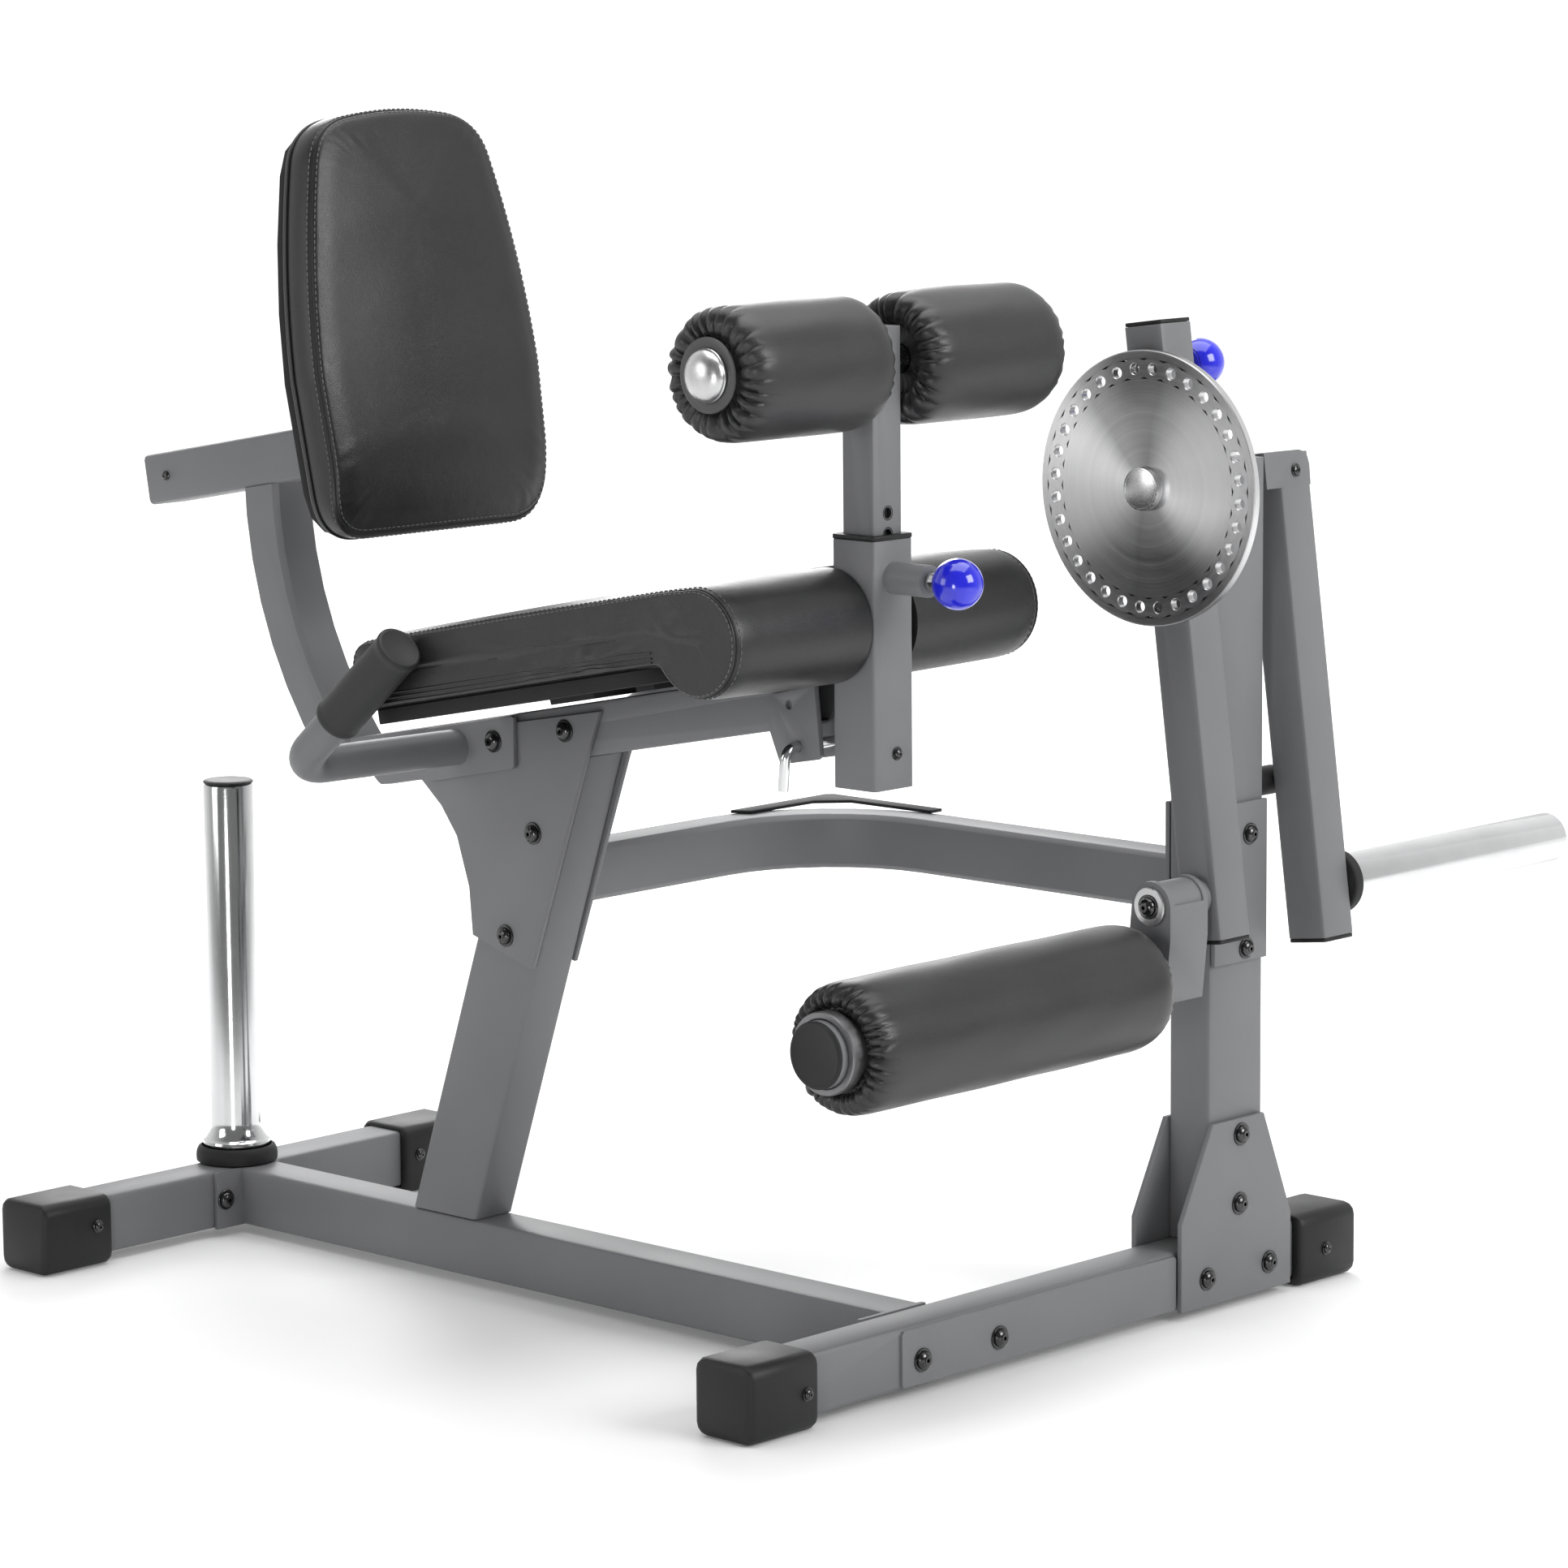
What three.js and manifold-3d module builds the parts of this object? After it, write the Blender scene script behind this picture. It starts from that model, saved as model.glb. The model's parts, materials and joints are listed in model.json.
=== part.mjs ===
// Seated, plate-loaded leg extension and leg curl machine.
// Millimetres, +Z up, +X is the way the seated person faces, +Y is the person's left.
// The design frame has X = 0 on the front stabiliser's front face, Y = 0 on the main rail's
// centre plane and Z = 0 on the floor. ORIGIN_X and ORIGIN_Y move it so that the exported
// origin is at the bottom centre of the whole machine.
import * as THREE from 'three';
import { mergeVertices } from 'three/addons/utils/BufferGeometryUtils.js';
import Module from 'manifold-3d';

const wasm = await Module();
wasm.setup();

// ---------------------------------------------------------------- driving dimensions
const ORIGIN_X = -478.08, ORIGIN_Y = 294.3;
const GAP = 0.3;                       // play between pieces that touch

const BASE_Z0 = 8, BASE_Z1 = 66;       // base tubes stand on the feet
const FRONT_X0 = -50, FRONT_X1 = -3.3; // front stabiliser tube
const FRONT_Y0 = -244, FRONT_Y1 = 568;
const REAR_X0 = -991, REAR_X1 = -941;  // rear stabiliser tube
const REAR_Y0 = -263, REAR_Y1 = 265;
const RAIL_W = 50;
const WALL = 2.5;
const FOOT_W = 71, FOOT_L = 80, FOOT_H = 71;

const POST_X0 = -50, POST_X1 = 0, POST_Y0 = 370, POST_Y1 = 450, POST_Z1 = 806;
const SHAFT_X = -25.3, SHAFT_Z = 785.9, SHAFT_R = 12.7;
const ARM_TILT = 7.4 * Math.PI / 180;  // the arms lean forward at the bottom
const ARM_W = 45;
const DISC_R = 127.5, DISC_T = 8, DISC_Y0 = 306.5, HOLE_RING = 110.3, DISC_HOLES = 32, HOLE_R = 5.2;
const SWING_Y0 = 322.8, SWING_Y1 = 367.8, SWING_TOP = 149, SWING_BOT = -422;
const WEIGHT_Y0 = 475.6, WEIGHT_Y1 = 520.6, WEIGHT_TOP = 18, WEIGHT_BOT = -441;
const SLEEVE_R = 25, SLEEVE_L = 349, SLEEVE_DROP = 393, HORN_R = 25;

const SEAT_TILT = 11 * Math.PI / 180;    // seat rises to the front
const BACK_TILT = 9.8 * Math.PI / 180;   // backrest slide tube rises to the front
const POST_LEAN = 19.2 * Math.PI / 180;  // seat post leans forward
const THIGH_X = -85.8, THIGH_W = 51, THIGH_Z0 = 538.4, THIGH_Z1 = 762;
const INNER_W = 38, ROLL_Z = 919.2, ROLL_R = 60, ROLL_L = 182, ROLL_END = 203;
const ANKLE_X = 18, ANKLE_Z = 336.3, ANKLE_R = 59.5, ANKLE_Y0 = -166, ANKLE_Y1 = 230;
const HORN_X = -970, HORN_TOP = 454;
const SEAT_X = -111, SEAT_Z = 684.5, NOSE_R = 49.4, SEAT_HW = 202, SEAT_L = 450, NOTCH = 30;
const PAD_OUT = 110;   // how far the pad's plate stands out of the slide tube
const HOLE_STEP = 19.1;
const KNOB_X = 15.7, KNOB_Z = 728.1;
const PIVOT_X = 23.2, PIVOT_Z = 408, PIV_Y0 = 256, PIV_Y1 = 310;

// ---------------------------------------------------------------- materials
const M = (c, r, m) => new THREE.MeshStandardMaterial({ color: c, roughness: r, metalness: m });
const GREY = 0x86878a, BLACK = 0x17181a, CHROME = 0xd9dcde, STEEL = 0xb9bbbd, BLUE = 0x1a22d8;
const paint = () => M(GREY, 0.42, 0.35);
const darkPaint = () => M(0x2b2c2e, 0.5, 0.3);
const plastic = () => M(0x1b1c1e, 0.55, 0);
const rubber = () => M(BLACK, 0.75, 0);
const vinyl = () => M(0x151618, 0.38, 0);
const chrome = () => M(CHROME, 0.12, 1);
const steel = () => M(STEEL, 0.28, 1);
const zinc = () => M(0xc2b79c, 0.3, 1);
const ball = () => M(BLUE, 0.2, 0);

// ---------------------------------------------------------------- solids
function toSolid(g) {
  const c = g.clone();
  for (const k of Object.keys(c.attributes)) if (k !== 'position') c.deleteAttribute(k);
  const m = mergeVertices(c, 1e-4);
  const idx = new Uint32Array(m.index.array);
  return new wasm.Manifold(new wasm.Mesh({
    numProp: 3, vertProperties: new Float32Array(m.attributes.position.array), triVerts: idx }));
}
function toGeo(s) {
  const m = s.getMesh();
  const g = new THREE.BufferGeometry();
  g.setAttribute('position', new THREE.BufferAttribute(new Float32Array(m.vertProperties), 3));
  g.setIndex(new THREE.BufferAttribute(new Uint32Array(m.triVerts), 1));
  return g;
}
const join = (...gs) => toGeo(gs.map(toSolid).reduce((a, b) => a.add(b)));
const cut = (g, ...tools) => toGeo(tools.map(toSolid).reduce((a, b) => a.subtract(b), toSolid(g)));
const common = (a, b) => toGeo(toSolid(a).intersect(toSolid(b)));

// Corner-rounded rectangle in the shape plane.
function rect(w, h, r, n = 2, hole = false) {
  const P = hole ? new THREE.Path() : new THREE.Shape();
  const x = w / 2, y = h / 2;
  const cs = [[x - r, y - r, 0], [-x + r, y - r, 1], [-x + r, -y + r, 2], [x - r, -y + r, 3]];
  const pts = [];
  for (const [cx, cy, q] of cs) {
    if (r <= 0) { pts.push(new THREE.Vector2(cx, cy)); continue; }
    for (let i = 0; i <= n; i++) {
      const a = (q + i / n) * Math.PI / 2;
      pts.push(new THREE.Vector2(cx + r * Math.cos(a), cy + r * Math.sin(a)));
    }
  }
  P.setFromPoints(pts);
  return P;
}
function circlePath(r, n, cx = 0, cy = 0, hole = true) {
  const P = hole ? new THREE.Path() : new THREE.Shape();
  const pts = [];
  for (let i = 0; i < n; i++) {
    const a = (i + 0.5) / n * 2 * Math.PI;
    pts.push(new THREE.Vector2(cx + r * Math.cos(a), cy + r * Math.sin(a)));
  }
  P.setFromPoints(pts);
  return P;
}
function poly(pts) { const s = new THREE.Shape(); s.setFromPoints(pts.map(p => new THREE.Vector2(p[0], p[1]))); return s; }
const extr = (shape, d) => new THREE.ExtrudeGeometry(shape, { depth: d, bevelEnabled: false, curveSegments: 1 });

// Straight rectangular tube: section w x h, length along +Z from 0.
function rtube(w, h, len, t = WALL, r = 5, n = 2) {
  const s = rect(w, h, r, n);
  s.holes.push(rect(w - 2 * t, h - 2 * t, Math.max(r - t, 0.6), 1, true));
  return extr(s, len);
}
// Round tube or bar along +Z from 0.
function round(r, len, n = 32, bore = 0) {
  const s = circlePath(r, n, 0, 0, false);
  if (bore > 0) s.holes.push(circlePath(bore, n));
  return extr(s, len);
}
const box = (x0, x1, y0, y1, z0, z1) =>
  new THREE.BoxGeometry(x1 - x0, y1 - y0, z1 - z0).translate((x0 + x1) / 2, (y0 + y1) / 2, (z0 + z1) / 2);
// Lathe about +Z from [r, z] pairs that start and end on the axis.
const lathe = (pts, n = 32) => new THREE.LatheGeometry(pts.map(p => new THREE.Vector2(p[0], p[1])), n).rotateX(Math.PI / 2);
// Turn a shape extruded along +Z so that it runs along +Y (shape x stays X, shape y becomes Z).
const alongY = g => g.rotateX(Math.PI / 2).scale(1, 1, 1);
// Extrude a shape drawn in X and Z from y0 to y1.
function slabXZ(shape, y0, y1) {
  return extr(shape, y1 - y0).rotateX(Math.PI / 2).translate(0, y1, 0);
}
// Extrude a shape drawn in Y and Z from x0 to x1.
function slabYZ(shape, x0, x1) {
  return extr(shape, x1 - x0).rotateX(Math.PI / 2).rotateZ(Math.PI / 2).translate(x0, 0, 0);
}
// Cylinder along Y between y0 and y1 about (x, z).
const cylY = (r, y0, y1, x = 0, z = 0, n = 32, bore = 0) =>
  round(r, y1 - y0, n, bore).rotateX(-Math.PI / 2).translate(x, y0, z);
const cylX = (r, x0, x1, y = 0, z = 0, n = 24, bore = 0) =>
  round(r, x1 - x0, n, bore).rotateY(Math.PI / 2).translate(x0, y, z);
const cylZ = (r, z0, z1, x = 0, y = 0, n = 24, bore = 0) => round(r, z1 - z0, n, bore).translate(x, y, z0);

// A path of straight runs joined by arcs, sampled only where it bends.
class BentPath extends THREE.Curve {
  constructor(corners, radii, n = 8) {
    super();
    const V = corners.map(c => new THREE.Vector3(...c));
    this.P = [V[0]];
    this.T = [V[1].clone().sub(V[0]).normalize()];
    for (let i = 1; i < V.length - 1; i++) {
      const a = V[i].clone().sub(V[i - 1]).normalize(), b = V[i + 1].clone().sub(V[i]).normalize();
      const ang = a.angleTo(b), R = radii[i - 1], d = R * Math.tan(ang / 2);
      const side = b.clone().sub(a.clone().multiplyScalar(a.dot(b))).normalize();
      const c = V[i].clone().sub(a.clone().multiplyScalar(d)).add(side.clone().multiplyScalar(R));
      for (let k = 0; k <= n; k++) {
        const t = ang * k / n;
        this.P.push(c.clone().add(side.clone().multiplyScalar(-R * Math.cos(t))).add(a.clone().multiplyScalar(R * Math.sin(t))));
        this.T.push(a.clone().multiplyScalar(Math.cos(t)).add(side.clone().multiplyScalar(Math.sin(t))));
      }
    }
    this.P.push(V[V.length - 1]);
    this.T.push(V[V.length - 1].clone().sub(V[V.length - 2]).normalize());
  }
  get steps() { return this.P.length - 1; }
  at(u) { return Math.round(u * this.steps); }
  getPoint(u, o = new THREE.Vector3()) { return o.copy(this.P[this.at(u)]); }
  getPointAt(u, o) { return this.getPoint(u, o); }
  getTangent(u, o = new THREE.Vector3()) { return o.copy(this.T[this.at(u)]); }
  getTangentAt(u, o) { return this.getTangent(u, o); }
}
function sweep(section, path) {
  return new THREE.ExtrudeGeometry(section, { steps: path.steps, extrudePath: path, bevelEnabled: false, curveSegments: 1 });
}
function tubeSection(w, h, t, r, n = 1) {
  const s = rect(w, h, r, n);
  s.holes.push(rect(w - 2 * t, h - 2 * t, Math.max(r - t, 0.6), 1, true));
  return s;
}
function pipeSection(r, t, n) {
  const s = circlePath(r, n, 0, 0, false);
  s.holes.push(circlePath(r - t, n));
  return s;
}

// ---------------------------------------------------------------- scene graph
const machine = new THREE.Group();
const world = new THREE.Group();
world.position.set(-ORIGIN_X, -ORIGIN_Y, 0);
machine.add(world);
function put(name, g, mat, parent = world) {
  const m = new THREE.Mesh(g, mat);
  m.name = name;
  parent.add(m);
  return m;
}

// ---------------------------------------------------------------- base
const BZ = (BASE_Z0 + BASE_Z1) / 2, BH = BASE_Z1 - BASE_Z0;
const FX = (FRONT_X0 + FRONT_X1) / 2, FW = FRONT_X1 - FRONT_X0;
const RX = (REAR_X0 + REAR_X1) / 2, RW = REAR_X1 - REAR_X0;
put('front_stabilizer', join(rtube(FW, BH, FRONT_Y1 - FRONT_Y0).rotateX(-Math.PI / 2).translate(FX, FRONT_Y0, BZ),
  slabYZ(rect(382, BH - 6, 3, 1), -0.5, 3.3).translate(FRONT_X1, 131, BZ)), paint());
put('rear_stabilizer', rtube(RW, BH, REAR_Y1 - REAR_Y0).rotateX(-Math.PI / 2).translate(RX, REAR_Y0, BZ), paint());
put('main_rail', join(
  rtube(BH, RAIL_W, FRONT_X0 - 5 - (REAR_X1 + 5)).rotateY(Math.PI / 2).translate(REAR_X1 + 5, 0, BZ),
  cut(box(REAR_X1 + GAP, REAR_X1 + 5.5, -57, 27, BASE_Z0, BASE_Z1), box(REAR_X1 - 1, REAR_X1 + 7, -20, 20, BASE_Z0 + 8, BASE_Z1 - 8)),
  cut(box(FRONT_X0 - 5.5, FRONT_X0 - GAP, -60, 27, BASE_Z0, BASE_Z1), box(FRONT_X0 - 7, FRONT_X0 + 1, -20, 20, BASE_Z0 + 8, BASE_Z1 - 8))), paint());

// Moulded foot caps: a rounded block with a pocket that takes the tube's end.
function footCap(cx, yTip, dir, w) {
  const s = rect(FOOT_W, FOOT_H, 12, 3);
  const g = new THREE.ExtrudeGeometry(s, { depth: FOOT_L - 6, bevelEnabled: true, bevelThickness: 6, bevelSize: 6, bevelOffset: -6, bevelSegments: 2, curveSegments: 1 });
  // the shape lies in X and Z, the length runs along Y; the tip is the outer end
  g.rotateX(-Math.PI / 2).translate(0, 0, 0);
  const blk = toSolid(g.translate(cx, Math.min(yTip, yTip - dir * FOOT_L) + 3, FOOT_H / 2));
  const inner = box(cx - w / 2 - GAP, cx + w / 2 + GAP, -9999, 9999, BASE_Z0 - GAP, BASE_Z1 + GAP);
  const yIn = yTip - dir * 14;
  const keep = dir < 0 ? box(-9999, 9999, yIn, 9999, -99, 999) : box(-9999, 9999, -9999, yIn, -99, 999);
  return toGeo(blk.subtract(toSolid(inner).intersect(toSolid(keep))));
}
put('foot_cap_front_near', footCap(FX, FRONT_Y0 - 15, -1, FW), plastic());
put('foot_cap_front_far', footCap(FX, FRONT_Y1 + 15, 1, FW), plastic());
put('foot_cap_rear_near', footCap(RX, REAR_Y0 - 15, -1, RW), plastic());
put('foot_cap_rear_far', footCap(RX, REAR_Y1 + 15, 1, RW), plastic());

// ---------------------------------------------------------------- upright post
const PX = (POST_X0 + POST_X1) / 2, PY = (POST_Y0 + POST_Y1) / 2;
put('upright_post', cut(join(rtube(POST_X1 - POST_X0, POST_Y1 - POST_Y0, POST_Z1 - BASE_Z1 - GAP).translate(PX, PY, BASE_Z1 + GAP),
  slabZ(rect(POST_X1 - POST_X0, POST_Y1 - POST_Y0, 5, 2), POST_Z1 - 3, POST_Z1, PX, PY)),
  cylY(20, POST_Y0 - 5, POST_Y1 + 5, SHAFT_X, SHAFT_Z, 28)), paint());
function slabZ(shape, z0, z1, x = 0, y = 0) { return extr(shape, z1 - z0).translate(x, y, z0); }

// Gusset plates in front of and behind the post's foot.
const gusset = poly([[322.6, BASE_Z0], [486.7, BASE_Z0], [486.7, 78], [445, 182], [369, 182], [322.6, 93]]);
put('post_gusset_front', slabYZ(gusset, 0.3, 6), paint());
put('post_gusset_rear', slabYZ(gusset, FRONT_X0 - 6, FRONT_X0 - 0.3), paint());

// ---------------------------------------------------------------- curved brace
const BRZ = 404, BRH = 54, BRT = 45;
const bracePath = new BentPath([[-532, 36, BRZ], [-532, 405, BRZ], [POST_X0 - 5, 405, BRZ]], [150], 8);
// section x is vertical, section y lies in the plane of the bend
put('curved_brace', join(
  sweep(tubeSection(BRH, BRT, WALL, 5, 1), bracePath),
  cut(slabXZ(rect(62, 92, 4, 1), 30.6, 36.5).translate(-532, 0, BRZ), slabXZ(rect(30, 36, 2, 1), 29, 38).translate(-532, 0, BRZ)),
  cut(box(POST_X0 - 5.5, POST_X0 - GAP, 371, 447, 332, 484), box(POST_X0 - 7, POST_X0 + 1, 390, 420, BRZ - 18, BRZ + 18))), paint());
put('brace_corner_plate', slabZ(poly([[-547, 290], [-528, 300], [-526, 388], [-500, 415], [-394, 417], [-394, 434], [-540, 434], [-547, 427]]), BRZ + BRH / 2 + GAP, BRZ + BRH / 2 + 3.5), darkPaint());
put('brace_clamp_plate', box(POST_X1 + GAP, POST_X1 + 5, 371, 449, 332, 484), paint());

// ---------------------------------------------------------------- weight storage horn
put('storage_horn', join(
  cut(lathe([[0, BASE_Z1 + GAP], [36, BASE_Z1 + GAP], [36, BASE_Z1 + 5], [31, BASE_Z1 + 24], [27.5, BASE_Z1 + 28], [HORN_R, BASE_Z1 + 34], [HORN_R, HORN_TOP], [0, HORN_TOP]], 28),
    cylZ(HORN_R - 2.5, BASE_Z1 + 6, HORN_TOP + 1, 0, 0, 28))).translate(HORN_X, 0, 0), chrome());
put('horn_rubber_ring', lathe([[36.6, BASE_Z1 + 0.3], [40, BASE_Z1 + 0.3], [40.8, BASE_Z1 + 3], [40.8, BASE_Z1 + 13], [38.5, BASE_Z1 + 16.5], [36.6, BASE_Z1 + 16.5], [36.6, BASE_Z1 + 0.3]], 28).translate(HORN_X, 0, 0), rubber());
put('horn_top_cap', join(cylZ(HORN_R, HORN_TOP + GAP, HORN_TOP + 3, HORN_X, 0, 28), cylZ(HORN_R - 2.9, HORN_TOP - 12, HORN_TOP + 1, HORN_X, 0, 28)), plastic());

// ---------------------------------------------------------------- seat post, side plates, seat frame
const cl = Math.cos(POST_LEAN), sl = Math.sin(POST_LEAN);
// seat post axis in X and Z: passes (SPX, BASE_Z1) and leans forward
const SPX = -635, SPW = 90, SPT = 50;
const spTop = 575;
function onPost(z, off = 0) { return [SPX + (z - BASE_Z1) * Math.tan(POST_LEAN) + off, z]; }
const seatPostRaw = rtube(SPW * cl, SPT, 700).rotateY(POST_LEAN).translate(SPX - 60 * Math.tan(POST_LEAN), 0, BASE_Z1 - 60);
const FS = SEAT_TILT;
// seat frame tube: 50 x 34, underside through (-188, 581) and (-365, 547)
const SF_H = 50, SFX1 = -112.2, SFX0 = -790;
const sfMid = x => 574.7 + (x + 355) * Math.tan(FS);
const frameLow = x => sfMid(x) - SF_H / 2 / Math.cos(FS);
const belowFrame = poly([[-900, BASE_Z1 + GAP], [0, BASE_Z1 + GAP], [0, sfMid(0) - SF_H / 2 / Math.cos(FS) - GAP], [-900, sfMid(-900) - SF_H / 2 / Math.cos(FS) - GAP]]);
put('seat_post', common(seatPostRaw, slabXZ(belowFrame, -60, 60)), paint());
const seatFrameRaw = rtube(SF_H, 50, 740, WALL, 4).rotateY(Math.PI / 2).rotateY(-FS).translate(SFX0 - 20, 0, sfMid(SFX0 - 20));
const lockPlate = poly([[-188, 590], [-184, 616], [-129.5, 629], [-122.7, 566], [-127, 562], [-171.9, 553.5]]);
const BP_R = 400, BP_X = -885, BP_Z = 775;   // backrest post: bend radius, top position, height where the bend starts
put('seat_frame', cut(join(cut(common(seatFrameRaw, box(SFX0, SFX1, -60, 60, 300, 900)), cylY(BP_R + 60, -40, 40, BP_X + BP_R, BP_Z, 72, BP_R - 25 - GAP - 1)), slabXZ(lockPlate, -30.5, -24.9), slabXZ(lockPlate, 24.9, 30.5)),
  slabXZ(poly([[-840, frameLow(-840) - 5], [-696, frameLow(-696) - 0.5], [-840, frameLow(-840) + 12]]), -40, 40),
  cylY(5.3, -40, 40, -150, 572, 16), cylY(4.5, -40, -26, -161, 609, 12)), paint());

const sideOutline = poly([[-403.6, 581], [-425, 528], [-499.7, 324.9], [-581, 348.8], [-585, 395], [-601, 442.7], [-622, 470], [-648, 491.4], [-672, 500], [-678, 531]]);
put('seat_side_plate_near', slabXZ(sideOutline, -31, -25.4), paint());
put('seat_side_plate_far', slabXZ(sideOutline, 25.4, 30.3), paint());

// ---------------------------------------------------------------- backrest post and slide tube
const cb = Math.cos(BACK_TILT), sb = Math.sin(BACK_TILT);
const backAxis = x => 731.6 + 25 / cb + (x + 1048) * Math.tan(BACK_TILT);   // axis height of the slide tube
const backLow = x => backAxis(x) - 25 / cb;
const bpPath = new BentPath([[BP_X, 0, 800], [BP_X, 0, BP_Z - BP_R * Math.tan(30 * Math.PI / 180)],
  [BP_X + 420 * Math.sin(Math.PI / 3), 0, BP_Z - BP_R * Math.tan(Math.PI / 6) - 420 * Math.cos(Math.PI / 3)]], [BP_R], 10);
const bpRaw = sweep(tubeSection(50, 50, WALL, 5, 1), bpPath);
const frameTop = x => sfMid(x) + (SF_H / 2 + GAP) / Math.cos(FS);
const bpZone = poly([[-1100, frameTop(-1100)], [-560, frameTop(-560)], [-560, backLow(-560) - GAP], [-1100, backLow(-1100) - GAP]]);
// the slide tube is welded across the post's top
const outerTube = rtube(50, 50, 242, WALL, 5).rotateY(Math.PI / 2).rotateY(-BACK_TILT).translate(-1054, 0, backAxis(-1054));
const bpTop = poly([[-1100, frameLow(-1100) + 12], [-560, frameLow(-560) + 12], [-560, backLow(-560) + 1], [-1100, backLow(-1100) + 1]]);
put('backrest_post', join(common(bpRaw, slabXZ(bpTop, -60, 60)), outerTube), paint());
const tubeFront = [-1054 + 242 * cb, backAxis(-1054) + 242 * sb];
put('slide_bush', rtube(53, 53, 12, 8.55, 4).rotateY(Math.PI / 2).rotateY(-BACK_TILT).translate(tubeFront[0] + GAP * cb, 0, tubeFront[1] + GAP * sb), plastic());

// Sliding part: inner tube with a mounting plate, board and cushion.
const slide = new THREE.Group();
slide.position.set(tubeFront[0], 0, tubeFront[1]);
slide.rotation.y = -BACK_TILT;
world.add(slide);
put('backrest_inner_tube', join(
  rtube(35.8, 35.8, 160 + PAD_OUT + 1, WALL, 3).rotateY(Math.PI / 2).translate(-160, 0, 0),
  cut(box(PAD_OUT, PAD_OUT + 6, -60, 60, -30, 110), cylX(8, PAD_OUT - 5, PAD_OUT + 15, 0, 0, 16))), paint(), slide);
// backrest board and pad: tapered with rounded corners, seen from the front (Y across, Z up)
function backShape(inset) {
  const hw0 = 139 - inset, hw1 = 113 - inset, z0 = -92 + inset, z1 = 309 - inset;
  const s = new THREE.Shape();
  s.moveTo(-hw0 + 42, z0);
  s.lineTo(hw0 - 42, z0);
  s.quadraticCurveTo(hw0 - 2, z0 + 2, hw0, z0 + 44);
  s.lineTo(hw0 + 5, 60);
  s.quadraticCurveTo(hw0 + 2, 160, hw1 + 2, z1 - 48);
  s.quadraticCurveTo(hw1 - 8, z1 - 6, hw1 - 56, z1 - 2);
  s.quadraticCurveTo(0, z1 + 6, -hw1 + 56, z1 - 2);
  s.quadraticCurveTo(-hw1 + 8, z1 - 6, -hw1 - 2, z1 - 48);
  s.quadraticCurveTo(-hw0 - 2, 160, -hw0 - 5, 60);
  s.lineTo(-hw0, z0 + 44);
  s.quadraticCurveTo(-hw0 + 2, z0 + 2, -hw0 + 42, z0);
  return s;
}
const extrC = (shape, d, seg) => new THREE.ExtrudeGeometry(shape, { depth: d, bevelEnabled: false, curveSegments: seg });
const yz = (g, x0) => g.rotateX(Math.PI / 2).rotateZ(Math.PI / 2).translate(x0, 0, 0);
put('back_board', yz(extrC(backShape(4), 10, 3), PAD_OUT + 6.3), M(0x1c1c1d, 0.7, 0), slide);
put('back_cushion', yz(new THREE.ExtrudeGeometry(backShape(0), { depth: 38, bevelEnabled: true, bevelThickness: 8, bevelSize: 8, bevelOffset: -8, bevelSegments: 2, curveSegments: 3 }), PAD_OUT + 24.6), vinyl(), slide);

// ---------------------------------------------------------------- seat board and cushion
const seat = new THREE.Group();
seat.position.set(SEAT_X, 0, SEAT_Z);
seat.rotation.y = -SEAT_TILT;
world.add(seat);
// in the seat's own frame X runs along the cushion and Z is square to it; the nose's centre is the origin
function seatProfile() {
  const s = new THREE.Shape();
  const pts = [[-SEAT_L, -14.5], [-50, -14.5], [-46, -20]];
  for (let i = 0; i <= 14; i++) {
    const a = -Math.PI * 0.8 + i / 14 * Math.PI * 1.34;
    pts.push([NOSE_R * Math.cos(a), NOSE_R * Math.sin(a)]);
  }
  pts.push([-60, 50.5], [-SEAT_L + 24, 50.5], [-SEAT_L + 6, 44], [-SEAT_L, 32]);
  s.setFromPoints(pts.map(p => new THREE.Vector2(p[0], p[1])));
  return s;
}
const frameTopLocal = -33.6;
put('seat_cushion', cut(slabXZ(seatProfile(), -SEAT_HW, SEAT_HW), box(-16, 80, -NOTCH, NOTCH, -90, 90), box(-90, 80, -26, 26, -60, frameTopLocal + 0.6)), vinyl(), seat);
put('seat_board', join(slabZ(rect(SEAT_L - 64, 2 * SEAT_HW - 12, 30, 3), -28.3, -14.8, -SEAT_L / 2 - 28, 0),
  box(-356, -296, -45, 45, frameTopLocal, -28), box(-240, -216, -45, 45, frameTopLocal, -28)), M(0x1c1c1d, 0.7, 0), seat);

// ---------------------------------------------------------------- hand grips
for (const [nm, side] of [['near', -1], ['far', 1]]) {
  const A = [-593, side * 35, 530], B = [-612, side * 224.5, 529.5], C = [-466, side * 224.5, 652];
  const path = new BentPath([A, B, C], [31], 5);
  const y0 = side < 0 ? -36.5 : 30.6, y1 = side < 0 ? -31.3 : 36.5;
  put('handle_tube_' + nm, join(sweep(pipeSection(17.2, 2.2, 14), path), slabXZ(poly([[-636, 492], [-518, 516], [-514, 520], [-514, 567.5], [-636, 543.5]]), y0, y1)), paint());
  const d = new THREE.Vector3(...C).sub(new THREE.Vector3(...B)).normalize();
  const c = new THREE.Vector3(...C);
  const g = join(round(21.5, 112, 18, 17.6), round(21.5, 4, 18).translate(0, 0, 112));
  const q = new THREE.Quaternion().setFromUnitVectors(new THREE.Vector3(0, 0, 1), d);
  const m = put('grip_' + nm, g, rubber());
  m.quaternion.copy(q);
  m.position.copy(c).add(d.clone().multiplyScalar(-112 + GAP));
}

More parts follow.
